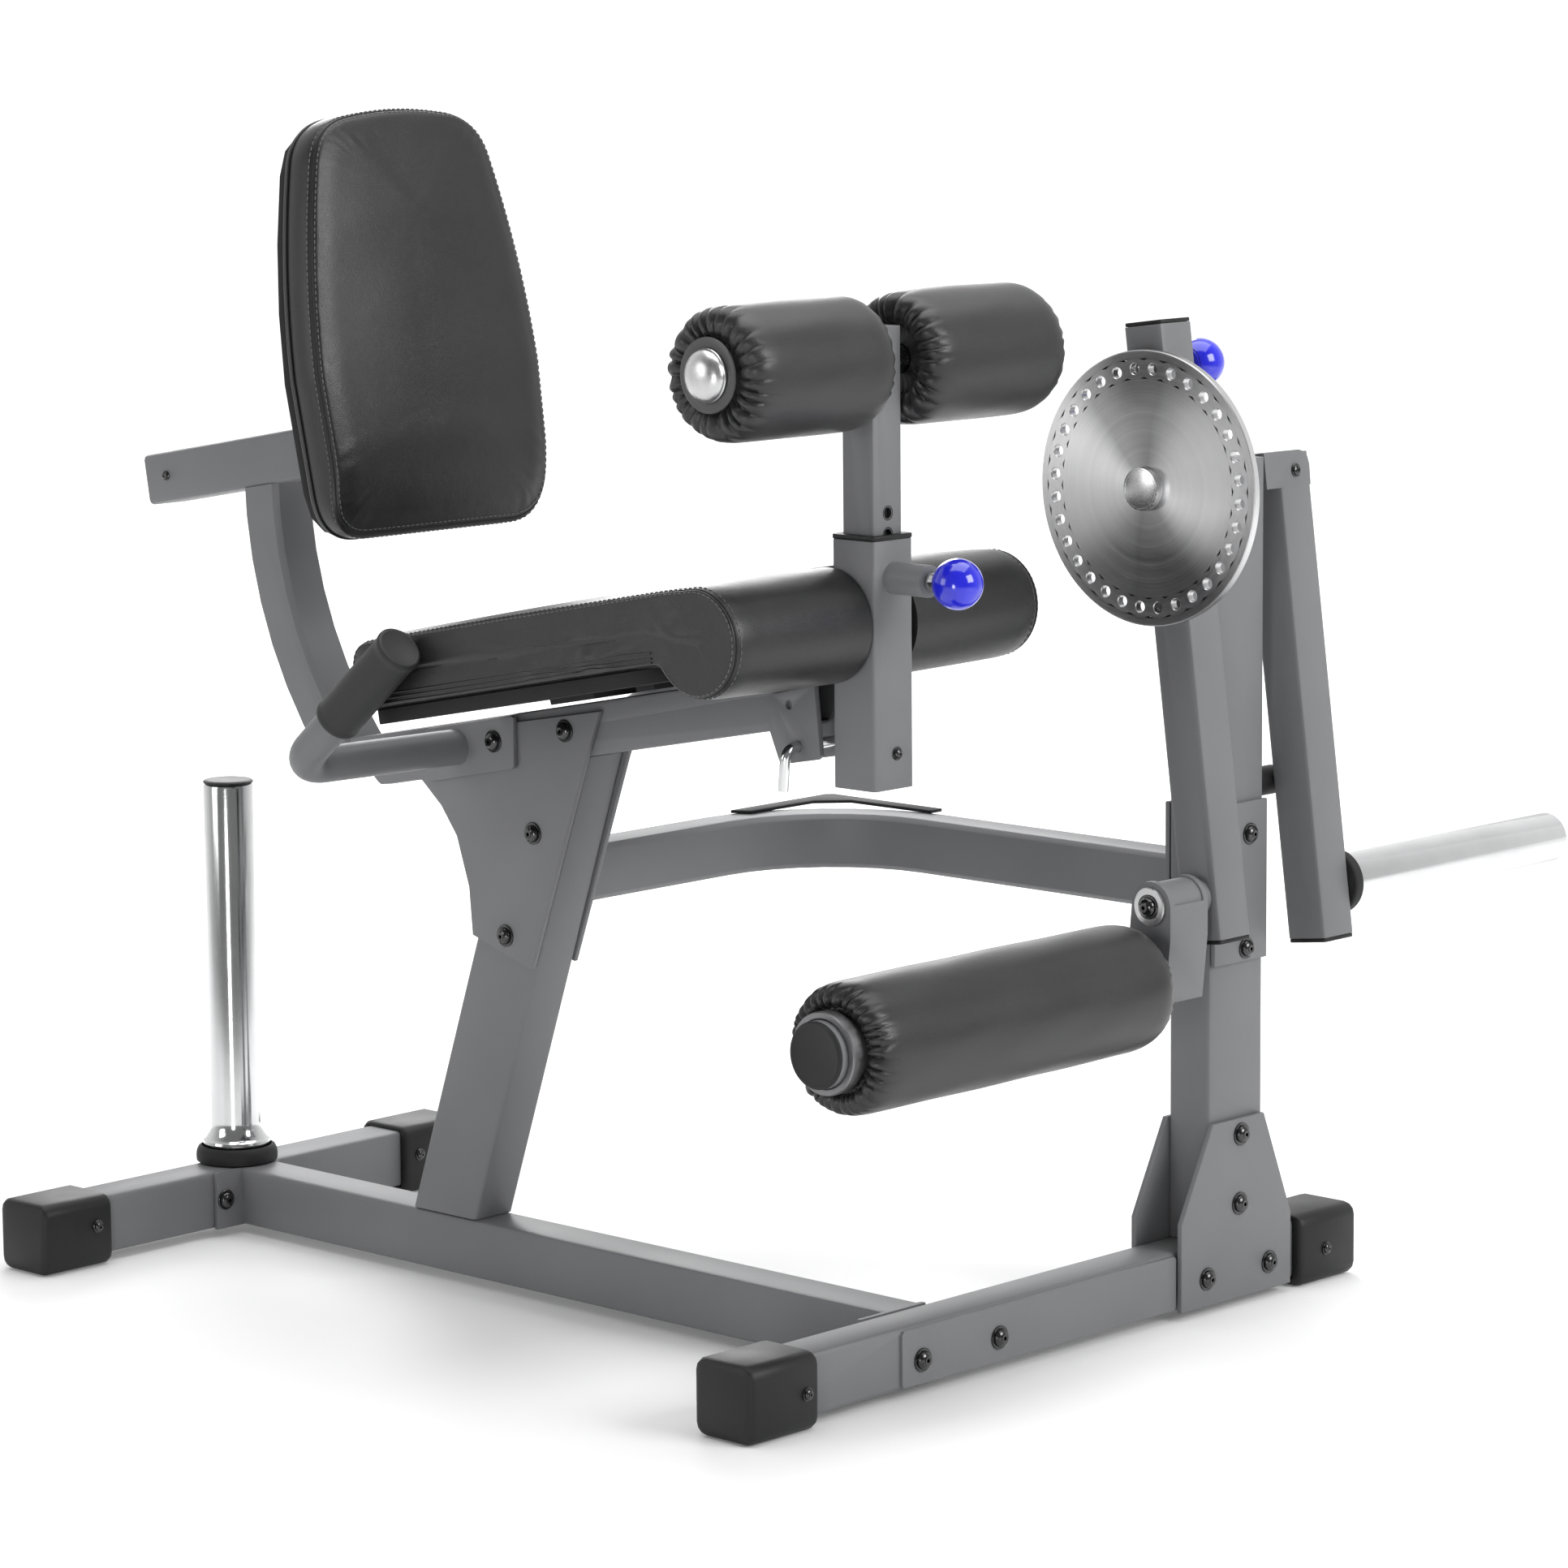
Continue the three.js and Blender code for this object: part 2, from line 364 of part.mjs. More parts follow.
// ---------------------------------------------------------------- thigh post
const TY = 26;
put('thigh_post_outer', cut(join(
  rtube(THIGH_W, 2 * TY, THIGH_Z1 - THIGH_Z0, 3, 4).translate(THIGH_X, 0, THIGH_Z0),
  cylX(14.5, THIGH_X + THIGH_W / 2 - 1, THIGH_X + THIGH_W / 2 + 44, 0, KNOB_Z, 20)),
  cylX(5.04 / Math.cos(Math.PI / 16), THIGH_X + 12, THIGH_X + THIGH_W / 2 + 50, 0, KNOB_Z, 16)), paint());
put('thigh_post_bush', join(
  cut(slabZ(rect(THIGH_W + 1, 2 * TY + 1, 4, 2), THIGH_Z1 + GAP, THIGH_Z1 + 4.5, THIGH_X, 0), slabZ(rect(INNER_W + 0.16, INNER_W + 0.16, 3, 2), THIGH_Z1 - 1, THIGH_Z1 + 9, THIGH_X, 0)),
  cut(slabZ(rect(THIGH_W - 6.3, 2 * TY - 6.3, 1, 1), THIGH_Z1 - 20, THIGH_Z1 + 1, THIGH_X, 0), slabZ(rect(INNER_W + 0.16, INNER_W + 0.16, 3, 2), THIGH_Z1 - 21, THIGH_Z1 + 9, THIGH_X, 0))), plastic());
const frontFace = THIGH_X + INNER_W / 2;
const holes = [];
for (let i = -3; i <= 3; i++) holes.push(cylX(5.2, frontFace - 6, frontFace + 2, 0, KNOB_Z + i * HOLE_STEP, 16));
put('thigh_inner_tube', cut(join(
  rtube(INNER_W, INNER_W, ROLL_Z + 30 - 600, WALL, 3).translate(THIGH_X, 0, 600),
  slabZ(rect(INNER_W, INNER_W, 3, 2), ROLL_Z + 28, ROLL_Z + 31, THIGH_X, 0)),
  ...holes, cylY(12.9, -30, 30, THIGH_X, ROLL_Z, 24)), paint());
put('thigh_cross_pipe', cylY(12.7, -ROLL_END - 1, ROLL_END + 1, THIGH_X, ROLL_Z, 24, 10.2), steel());
for (const [nm, sgn] of [['near', -1], ['far', 1]]) {
  const y0 = sgn < 0 ? -ROLL_END : ROLL_END - ROLL_L, RB = (12.7 + 0.05) / Math.cos(Math.PI / 24);
  const ends = [[RB, 0], [ROLL_R - 14, 0], [ROLL_R - 4, 5], [ROLL_R, 15], [ROLL_R, ROLL_L - 15], [ROLL_R - 4, ROLL_L - 5], [ROLL_R - 14, ROLL_L], [RB, ROLL_L], [RB, 0]];
  put('thigh_roller_' + nm, lathe(ends, 24).rotateX(-Math.PI / 2).translate(THIGH_X, y0, ROLL_Z), vinyl());
  // domed end cap with a washer, pressed on the pipe's end
  const cap = lathe([[0, 0], [9.9, 0], [9.9, 14], [33, 14], [33, 16.6], [23.4, 17.5], [22.5, 21.5], [18.5, 26], [11, 29.2], [0, 30.5], [0, 0]], 24);
  const g = cap.translate(0, 0, -12.5);
  put('thigh_pipe_cap_' + nm, sgn > 0 ? g.rotateX(-Math.PI / 2).translate(THIGH_X, ROLL_END + 1 - 1 + GAP, ROLL_Z) : g.rotateX(Math.PI / 2).translate(THIGH_X, -ROLL_END - GAP, ROLL_Z), chrome());
}
// spring pull pin that locks the inner tube
put('thigh_pull_pin', join(cylX(5, THIGH_X + INNER_W / 2 + GAP, KNOB_X - 17, 0, KNOB_Z, 16), cylX(9, THIGH_X + THIGH_W / 2 + 46, KNOB_X - 17, 0, KNOB_Z, 20),
  ballKnob(23).rotateY(Math.PI / 2).translate(KNOB_X, 0, KNOB_Z)), ball());
function ballKnob(R) {
  const pts = [[0, -R * 0.8]];
  pts.push([R * 0.6, -R * 0.8]);
  for (let i = 1; i <= 7; i++) { const a = Math.acos(-0.8) * (1 - i / 7); pts.push([R * Math.sin(a), R * Math.cos(a)]); }
  pts[pts.length - 1][0] = 0;
  pts.push([0, -R * 0.8]);
  return lathe(pts, 18);
}

// lock plate under the seat's front with its bent pin
put('seat_lock_pin', sweep(circlePath(5, 10, 0, 0, false), new BentPath([[-150, 40, 572], [-150, -46, 572], [-154, -46, 533]], [11], 4)), chrome());

// ---------------------------------------------------------------- shaft, disc and arms
// a polygon bore that clears the shaft at its flats
const BN = 28, BORE_R = (SHAFT_R + 0.04) / Math.cos(Math.PI / BN);
const rotor = new THREE.Group();
rotor.position.set(SHAFT_X, 0, SHAFT_Z);
rotor.rotation.y = -ARM_TILT;
world.add(rotor);
put('main_shaft', join(cylY(SHAFT_R, DISC_Y0 - 2, WEIGHT_Y1 + 6, 0, 0, BN), cylY(20, DISC_Y0 - 9, DISC_Y0 - GAP, 0, 0, 28)), steel(), rotor);
put('shaft_bearing_near', cylY(19.8, POST_Y0 + 0.3, POST_Y0 + 16, SHAFT_X, SHAFT_Z, BN, BORE_R), zinc());
put('shaft_bearing_far', cylY(19.8, POST_Y1 - 16, POST_Y1 - 0.3, SHAFT_X, SHAFT_Z, BN, BORE_R), zinc());
const disc = circlePath(DISC_R, 56, 0, 0, false);
for (let i = 0; i < DISC_HOLES; i++) {
  const a = Math.PI / 2 + i * 2 * Math.PI / DISC_HOLES;
  disc.holes.push(circlePath(HOLE_R, 6, HOLE_RING * Math.cos(a), HOLE_RING * Math.sin(a)));
}
disc.holes.push(circlePath(SHAFT_R + 0.3, BN));
put('selector_disc', slabXZ(disc, DISC_Y0, DISC_Y0 + DISC_T), steel(), rotor);
const pivL = [(PIVOT_X - SHAFT_X) * Math.cos(ARM_TILT) + (PIVOT_Z - SHAFT_Z) * Math.sin(ARM_TILT), -(PIVOT_X - SHAFT_X) * Math.sin(ARM_TILT) + (PIVOT_Z - SHAFT_Z) * Math.cos(ARM_TILT)];
put('swing_arm', cut(join(
  cut(rtube(ARM_W, ARM_W, SWING_TOP - SWING_BOT, WALL, 4).translate(0, (SWING_Y0 + SWING_Y1) / 2, SWING_BOT), cylY(5.14, SWING_Y0 - 5, SWING_Y1 + 5, 0, HOLE_RING, 16)),
  cylY(9, SWING_Y1 - 1, SWING_Y1 + 12, 0, HOLE_RING, 16, 5.14), cylY(17, PIV_Y1 + GAP, SWING_Y0 + 1, pivL[0], pivL[1], 24)),
  cylY(BORE_R, SWING_Y0 - 5, SWING_Y1 + 5, 0, 0, BN), cylY(8.2, PIV_Y1 - 1, SWING_Y0 + 4, pivL[0], pivL[1], 20)), paint(), rotor);
const plugZ = (w, z0, z1, lip) => join(slabZ(rect(w - 0.4, w - 0.4, 4, 2), z0, z1), slabZ(rect(w - 2 * WALL - 0.6, w - 2 * WALL - 0.6, 1.5, 1), lip[0], lip[1]));
put('swing_arm_top_plug', plugZ(ARM_W, SWING_TOP + GAP, SWING_TOP + 4, [SWING_TOP - 12, SWING_TOP + 1]).translate(0, (SWING_Y0 + SWING_Y1) / 2, 0), plastic(), rotor);
put('swing_arm_bottom_plug', plugZ(ARM_W, SWING_BOT - 4, SWING_BOT - GAP, [SWING_BOT - 1, SWING_BOT + 12]).translate(0, (SWING_Y0 + SWING_Y1) / 2, 0), plastic(), rotor);
// selector pull pin: plunger through the arm into a hole of the disc, ball knob on the post's side
put('selector_pull_pin', join(cylY(5.0, DISC_Y0 + DISC_T + GAP, SWING_Y1 + 17, 0, HOLE_RING, 16), cylY(8.5, SWING_Y1 + 12.3, SWING_Y1 + 17, 0, HOLE_RING, 16),
  ballKnob(23).rotateX(-Math.PI / 2).translate(0, SWING_Y1 + 33.2, HOLE_RING)), ball(), rotor);

const WY = (WEIGHT_Y0 + WEIGHT_Y1) / 2;
put('weight_arm', cut(join(
  rtube(ARM_W, ARM_W, WEIGHT_TOP - WEIGHT_BOT, WALL, 4).translate(0, WY, WEIGHT_BOT),
  slabYZ(poly([[POST_Y1 + 4, -14], [WEIGHT_Y1 - 1, -14], [WEIGHT_Y1, 5], [WEIGHT_Y1 - 2, 13], [WEIGHT_Y1 - 8, 18.2], [WEIGHT_Y1 - 14, 20], [POST_Y1 + 4, 20]]), -22.5, 22.5)),
  cylY(SHAFT_R + 0.3, POST_Y1 - 5, WEIGHT_Y1 + 20, 0, 0, BN)), paint(), rotor);
put('weight_arm_bottom_plug', plugZ(ARM_W, WEIGHT_BOT - 4, WEIGHT_BOT - GAP, [WEIGHT_BOT - 1, WEIGHT_BOT + 12]).translate(0, WY, 0), plastic(), rotor);
put('weight_sleeve', cut(join(
  cylY(SLEEVE_R, WEIGHT_Y1 + 12.6, WEIGHT_Y1 + SLEEVE_L, 0, -SLEEVE_DROP, 28),
  cylY(12, WEIGHT_Y1 + GAP, WEIGHT_Y1 + 14, 0, -SLEEVE_DROP, 24)),
  cylY(9, WEIGHT_Y1 - 1, WEIGHT_Y1 + SLEEVE_L - 6, 0, -SLEEVE_DROP, 24)), chrome(), rotor);
put('sleeve_collar', cylY(31, WEIGHT_Y1 + GAP, WEIGHT_Y1 + 12.3, 0, -SLEEVE_DROP, 24, 12.4), rubber(), rotor);
// stop that the weight arm's rear face rests on
put('rest_buffer', cylY(14, POST_Y1 + GAP, WEIGHT_Y0 + 18, -24.6, 494, 20), rubber());

// ---------------------------------------------------------------- swivelling ankle roller
const bz = PIVOT_Z, bx = PIVOT_X;
const ear = (y0, y1) => {
  const s = new THREE.Shape();
  const pts = [];
  for (let i = 0; i <= 12; i++) { const a = Math.PI * i / 12; pts.push([bx + 23 * Math.cos(a), bz + 23 * Math.sin(a)]); }
  pts.push([bx - 27, bz - 40], [ANKLE_X - 25, ANKLE_Z - 14], [ANKLE_X + 22, ANKLE_Z - 18], [bx + 23, bz - 30]);
  s.setFromPoints(pts.map(p => new THREE.Vector2(p[0], p[1])));
  return slabXZ(s, y0, y1);
};
put('roller_bracket', cut(join(ear(PIV_Y0, PIV_Y0 + 6), ear(PIV_Y1 - 6, PIV_Y1),
  slabXZ(poly([[bx + 16, bz + 2], [bx + 23, bz + 2], [bx + 23, bz - 30], [ANKLE_X + 22, ANKLE_Z - 18], [ANKLE_X + 15, ANKLE_Z - 18], [bx + 16, bz - 32]]), PIV_Y0, PIV_Y1),
  cylY(21, PIV_Y0 + 5, PIV_Y1 - 5, bx, bz, 28), cylY(25.4, ANKLE_Y1 + 6, PIV_Y0 + 1, ANKLE_X, ANKLE_Z, 28, 22.5)),
  cylY(8.04 / Math.cos(Math.PI / 20), PIV_Y0 - 10, PIV_Y1 + 10, bx, bz, 20)), paint());
put('swivel_pin', join(cylY(8, PIV_Y0 - 4, SWING_Y0 - 0.5, bx, bz, 20), lathe([[0, -10], [6, -9.5], [11, -6.5], [12.5, -2], [12.5, 0], [0, 0], [0, -10]], 24).rotateX(-Math.PI / 2).translate(bx, PIV_Y0 - 4.2, bz), cylY(16, PIV_Y0 - 4.4, PIV_Y0 - 0.4, bx, bz, 28)), steel());
const AB = (30 + 0.05) / Math.cos(Math.PI / 28);
put('ankle_pipe', cut(join(
  cylY(30, ANKLE_Y0 - 20, ANKLE_Y1 + 5.6, ANKLE_X, ANKLE_Z, 28, 27),
  cylY(30, ANKLE_Y1 + 1, ANKLE_Y1 + 5.6, ANKLE_X, ANKLE_Z, 28, 12))), paint());
put('ankle_roller', lathe([[AB, 0], [ANKLE_R - 12, 0], [ANKLE_R - 3.5, 5], [ANKLE_R, 15], [ANKLE_R, ANKLE_Y1 - ANKLE_Y0 - 15], [ANKLE_R - 3.5, ANKLE_Y1 - ANKLE_Y0 - 5], [ANKLE_R - 12, ANKLE_Y1 - ANKLE_Y0], [AB, ANKLE_Y1 - ANKLE_Y0], [AB, 0]], 28).rotateX(-Math.PI / 2).translate(ANKLE_X, ANKLE_Y0, ANKLE_Z), vinyl());
put('ankle_collar', cylY(37, ANKLE_Y0 - 14, ANKLE_Y0 - 0.4, ANKLE_X, ANKLE_Z, 28, 30.3), steel());
put('ankle_pipe_cap', join(cylY(30, ANKLE_Y0 - 24, ANKLE_Y0 - 20 - GAP, ANKLE_X, ANKLE_Z, 28), cylY(26.6, ANKLE_Y0 - 21, ANKLE_Y0 - 8, ANKLE_X, ANKLE_Z, 28)), plastic());

export default machine;
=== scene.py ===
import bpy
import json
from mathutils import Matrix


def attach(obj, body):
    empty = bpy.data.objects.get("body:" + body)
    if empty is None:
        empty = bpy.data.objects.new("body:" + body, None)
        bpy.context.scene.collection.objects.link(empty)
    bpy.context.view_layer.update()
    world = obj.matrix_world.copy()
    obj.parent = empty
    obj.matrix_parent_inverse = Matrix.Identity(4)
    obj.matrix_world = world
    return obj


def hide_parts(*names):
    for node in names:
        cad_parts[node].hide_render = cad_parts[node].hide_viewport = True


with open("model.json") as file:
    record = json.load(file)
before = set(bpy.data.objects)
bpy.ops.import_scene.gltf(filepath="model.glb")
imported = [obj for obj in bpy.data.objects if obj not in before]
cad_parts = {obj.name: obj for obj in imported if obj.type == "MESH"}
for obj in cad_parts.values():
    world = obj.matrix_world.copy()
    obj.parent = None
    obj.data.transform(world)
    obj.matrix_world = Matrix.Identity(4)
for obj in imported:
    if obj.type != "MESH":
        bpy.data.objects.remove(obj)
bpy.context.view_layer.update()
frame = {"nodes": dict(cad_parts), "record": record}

import json
import math
import random
import bmesh
import bpy
from mathutils import Matrix, Vector
from mathutils.bvhtree import BVHTree

random.seed(7)
PI = math.pi
OX, OY = -478.08, 294.3


def D(x, y, z):
    """A point of the design frame in millimetres, as metres in the row frame."""
    return Vector(((x - OX) / 1000, (y - OY) / 1000, z / 1000))


def mm(v):
    return v / 1000


# ------------------------------------------------------------------ camera
yaw, pitch, roll = 2.332557224, 0.152942029, -0.00862594
look = Vector((math.cos(yaw) * math.cos(pitch), math.sin(yaw) * math.cos(pitch), -math.sin(pitch)))
right = look.cross(Vector((0, 0, 1))).normalized()
up = right.cross(look)
right, up = (math.cos(roll) * right + math.sin(roll) * up), (-math.sin(roll) * right + math.cos(roll) * up)
cam_data = bpy.data.cameras.new("camera")
cam = bpy.data.objects.new("camera", cam_data)
bpy.context.scene.collection.objects.link(cam)
m = Matrix((right, up, -look)).transposed().to_4x4()
m.translation = D(3196.014, -3556.985, 1287.491)
cam.matrix_world = m
cam_data.sensor_width = 36
cam_data.lens = 6747.5958 / 1932 * 36
cam_data.clip_end = 100
cam_data.dof.use_dof = False
bpy.context.scene.camera = cam

# ------------------------------------------------------------------ materials
def new_mat(name, base, rough, metal=0.0, coat=0.0, coat_rough=0.1, sheen=0.0, spec=0.5, aniso=0.0):
    mt = bpy.data.materials.new(name)
    mt.use_nodes = True
    nt = mt.node_tree
    b = nt.nodes["Principled BSDF"]
    b.inputs["Base Color"].default_value = (*base, 1)
    b.inputs["Roughness"].default_value = rough
    b.inputs["Metallic"].default_value = metal
    b.inputs["Specular IOR Level"].default_value = spec
    b.inputs["Coat Weight"].default_value = coat
    b.inputs["Coat Roughness"].default_value = coat_rough
    b.inputs["Sheen Weight"].default_value = sheen
    b.inputs["Sheen Roughness"].default_value = 0.4
    b.inputs["Anisotropic"].default_value = aniso
    mt.diffuse_color = (*base, 1)
    return mt, nt, b


def node(nt, kind, **kw):
    n = nt.nodes.new(kind)
    for k, v in kw.items():
        if k in n.inputs:
            n.inputs[k].default_value = v
        else:
            setattr(n, k, v)
    return n


def coords(nt, scale=(1, 1, 1)):
    tc = node(nt, "ShaderNodeTexCoord")
    mp = node(nt, "ShaderNodeMapping")
    mp.inputs["Scale"].default_value = scale
    nt.links.new(tc.outputs["Object"], mp.inputs["Vector"])
    return mp.outputs["Vector"]


def noise(nt, vec, scale, detail=3.0, rough=0.55):
    n = node(nt, "ShaderNodeTexNoise")
    n.inputs["Scale"].default_value = scale
    n.inputs["Detail"].default_value = detail
    n.inputs["Roughness"].default_value = rough
    nt.links.new(vec, n.inputs["Vector"])
    return n.outputs["Fac"]


def remap(nt, val, a, b, lo, hi):
    n = node(nt, "ShaderNodeMapRange")
    n.inputs["From Min"].default_value = a
    n.inputs["From Max"].default_value = b
    n.inputs["To Min"].default_value = lo
    n.inputs["To Max"].default_value = hi
    nt.links.new(val, n.inputs["Value"])
    return n.outputs["Result"]


def two_tone(nt, fac, c0, c1):
    n = node(nt, "ShaderNodeMix", data_type="RGBA")
    n.inputs["A"].default_value = (*c0, 1)
    n.inputs["B"].default_value = (*c1, 1)
    nt.links.new(fac, n.inputs["Factor"])
    return n.outputs["Result"]


def add_bump(nt, b, height, strength, dist, prev=None):
    n = node(nt, "ShaderNodeBump")
    n.inputs["Strength"].default_value = strength
    n.inputs["Distance"].default_value = dist
    nt.links.new(height, n.inputs["Height"])
    if prev is not None:
        nt.links.new(prev, n.inputs["Normal"])
    nt.links.new(n.outputs["Normal"], b.inputs["Normal"])
    return n.outputs["Normal"]


def shade(c, k):
    return tuple(min(1, x * k) for x in c)


def paint(name, base, rough=0.4, metal=0.25, coat=0.15):
    """Satin powder coat: orange peel, faint tone drift, small rubs."""
    mt, nt, b = new_mat(name, base, rough, metal, coat=coat, coat_rough=0.3, spec=0.22)
    v = coords(nt)
    drift = noise(nt, v, 5.0, 3)
    fleck = noise(nt, v, 650.0, 2, 0.6)
    rub = noise(nt, coords(nt, (1, 1, 1)), 38.0, 6, 0.7)
    col = two_tone(nt, remap(nt, drift, 0.3, 0.7, 0, 1), shade(base, 0.93), shade(base, 1.07))
    mixn = node(nt, "ShaderNodeMix", data_type="RGBA")
    mixn.inputs["B"].default_value = (*shade(base, 1.35), 1)
    nt.links.new(col, mixn.inputs["A"])
    nt.links.new(remap(nt, rub, 0.66, 0.80, 0, 0.35), mixn.inputs["Factor"])
    nt.links.new(mixn.outputs["Result"], b.inputs["Base Color"])
    nt.links.new(remap(nt, drift, 0.25, 0.75, rough - 0.05, rough + 0.06), b.inputs["Roughness"])
    n1 = add_bump(nt, b, fleck, 0.22, 0.00025)
    add_bump(nt, b, noise(nt, v, 160.0, 2), 0.12, 0.0005, n1)
    return mt


def vinyl(name, base, rough=0.42, grain=620.0, bump=0.35, soft=0.16):
    """Embossed upholstery vinyl: pebble grain, soft folds, slight tone drift."""
    mt, nt, b = new_mat(name, base, rough, 0, sheen=0.06, spec=0.5)
    v = coords(nt)
    warp = noise(nt, v, 90.0, 2)
    add = node(nt, "ShaderNodeVectorMath", operation="MULTIPLY_ADD")
    nt.links.new(v, add.inputs[0])
    add.inputs[1].default_value = (1, 1, 1)
    sc = node(nt, "ShaderNodeVectorMath", operation="SCALE")
    comb = node(nt, "ShaderNodeCombineXYZ")
    for s in ("X", "Y", "Z"):
        nt.links.new(warp, comb.inputs[s])
    nt.links.new(comb.outputs[0], sc.inputs[0])
    sc.inputs["Scale"].default_value = 0.0012
    nt.links.new(sc.outputs[0], add.inputs[2])
    vo = node(nt, "ShaderNodeTexVoronoi", feature="DISTANCE_TO_EDGE")
    vo.inputs["Scale"].default_value = grain
    nt.links.new(add.outputs[0], vo.inputs["Vector"])
    cell = remap(nt, vo.outputs["Distance"], 0.0, 0.28, 0, 1)
    drift = noise(nt, v, 9.0, 4)
    col = two_tone(nt, remap(nt, drift, 0.3, 0.7, 0, 1), shade(base, 0.85), shade(base, 1.2))
    mixn = node(nt, "ShaderNodeMix", data_type="RGBA")
    mixn.inputs["A"].default_value = (*shade(base, 0.6), 1)
    nt.links.new(col, mixn.inputs["B"])
    nt.links.new(remap(nt, cell, 0, 0.5, 0.4, 1), mixn.inputs["Factor"])
    nt.links.new(mixn.outputs["Result"], b.inputs["Base Color"])
    nt.links.new(remap(nt, drift, 0.25, 0.75, rough - 0.04, rough + 0.07), b.inputs["Roughness"])
    n1 = add_bump(nt, b, cell, bump, 0.00018)
    add_bump(nt, b, noise(nt, v, 34.0, 3), soft, 0.0022, n1)
    return mt


def moulded(name, base, rough=0.5, grain=900.0, bump=0.25, spec=0.5):
    """Moulded plastic or rubber with a fine spark texture."""
    mt, nt, b = new_mat(name, base, rough, 0, spec=spec)
    v = coords(nt)
    f = noise(nt, v, grain, 2, 0.6)
    drift = noise(nt, v, 14.0, 3)
    nt.links.new(two_tone(nt, remap(nt, drift, 0.3, 0.7, 0, 1), shade(base, 0.85), shade(base, 1.25)), b.inputs["Base Color"])
    nt.links.new(remap(nt, drift, 0.25, 0.75, rough - 0.05, rough + 0.08), b.inputs["Roughness"])
    add_bump(nt, b, f, bump, 0.0003)
    return mt


def metal(name, base, rough, stretch=(1, 1, 1), scale=400.0, bump=0.05, aniso=0.0):
    """Plated or brushed metal with fine directional marks."""
    mt, nt, b = new_mat(name, base, rough, 1.0, aniso=aniso)
    v = coords(nt, stretch)
    f = noise(nt, v, scale, 4, 0.6)
    smear = noise(nt, coords(nt), 12.0, 4)
    nt.links.new(two_tone(nt, remap(nt, smear, 0.3, 0.7, 0, 1), shade(base, 0.92), shade(base, 1.05)), b.inputs["Base Color"])
    nt.links.new(remap(nt, f, 0.25, 0.75, rough * 0.8, rough * 1.3), b.inputs["Roughness"])
    add_bump(nt, b, f, bump, 0.0002)
    return mt


GREY = (0.178, 0.180, 0.186)
M_PAINT = paint("powder_coat_grey", GREY, 0.47, 0.08, 0.0)
M_DARK = paint("paint_black", (0.022, 0.022, 0.024), 0.6, 0.0, 0.0)
M_VINYL = vinyl("vinyl_black", (0.012, 0.012, 0.0125), 0.34)
M_VROLL = vinyl("vinyl_roller", (0.018, 0.018, 0.0185), 0.36, 520.0, 0.3, 0.07)
M_THREAD = moulded("thread_grey", (0.10, 0.10, 0.105), 0.6, 3000.0, 0.3)
# near-black used as painted shade along the seam grooves and inside the height holes
M_PAINTED_SHADE = moulded("seam_shadow", (0.006, 0.006, 0.006), 0.7, 1200.0, 0.2)
M_CLOTH = moulded("backing_cloth", (0.010, 0.010, 0.011), 0.85, 1500.0, 0.6)
M_PLAST = moulded("plastic_black", (0.010, 0.010, 0.0105), 0.46, 800.0, 0.3, spec=0.34)
M_RUBBER = moulded("rubber_black", (0.012, 0.012, 0.0125), 0.62, 1100.0, 0.4, spec=0.35)
M_GRIP = moulded("grip_rubber", (0.020, 0.020, 0.021), 0.55, 500.0, 0.5, spec=0.4)
M_BOLT = moulded("bolt_black", (0.006, 0.006, 0.0065), 0.15, 900.0, 0.08, spec=0.9)
M_CHROME = metal("chrome", (0.72, 0.725, 0.73), 0.13, scale=700.0, bump=0.02)
M_SATIN = metal("chrome_satin", (0.62, 0.62, 0.625), 0.30, scale=260.0, bump=0.03)
M_SHAFT = metal("shaft_end", (0.30, 0.30, 0.305), 0.38, scale=300.0, bump=0.05)
M_ZINC = metal("collar_grey", (0.22, 0.22, 0.225), 0.42, scale=300.0, bump=0.05)
M_RINGG = moulded("end_ring_grey", (0.055, 0.055, 0.057), 0.38, 700.0, 0.2)
M_STEEL = metal("steel_turned", (0.60, 0.60, 0.60), 0.24, scale=500.0, bump=0.08)
M_BRASS = metal("bush_brass", (0.55, 0.47, 0.32), 0.3, scale=500.0, bump=0.08)

# knob: deep glossy plastic
M_KNOB, nt_k, b_k = new_mat("knob_blue", (0.012, 0.014, 0.60), 0.16, 0, coat=0.6, coat_rough=0.05)
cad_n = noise(nt_k, coords(nt_k), 30.0, 3)
nt_k.links.new(two_tone(nt_k, remap(nt_k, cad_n, 0.3, 0.7, 0, 1), (0.010, 0.012, 0.50), (0.016, 0.02, 0.68)), b_k.inputs["Base Color"])
nt_k.links.new(remap(nt_k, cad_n, 0.3, 0.7, 0.13, 0.2), b_k.inputs["Roughness"])

# disc: lathe-turned face, ring marks about its own axis; painted highlight fans to the sides and painted shade at top
# and bottom, set by the angle about the centre
M_DISC, nt_d, b_d = new_mat("disc_turned", (0.47, 0.47, 0.475), 0.30, 1.0, aniso=0.78)
tc = node(nt_d, "ShaderNodeTexCoord")
sx = node(nt_d, "ShaderNodeSeparateXYZ")
nt_d.links.new(tc.outputs["Object"], sx.inputs[0])
cb = node(nt_d, "ShaderNodeCombineXYZ")
nt_d.links.new(sx.outputs["X"], cb.inputs["X"])
nt_d.links.new(sx.outputs["Z"], cb.inputs["Y"])
ln = node(nt_d, "ShaderNodeVectorMath", operation="LENGTH")
nt_d.links.new(cb.outputs[0], ln.inputs[0])
cr = node(nt_d, "ShaderNodeCombineXYZ")
nt_d.links.new(ln.outputs["Value"], cr.inputs["X"])
ring = noise(nt_d, cr.outputs[0], 1400.0, 3, 0.7)
ring2 = noise(nt_d, cr.outputs[0], 160.0, 3, 0.7)
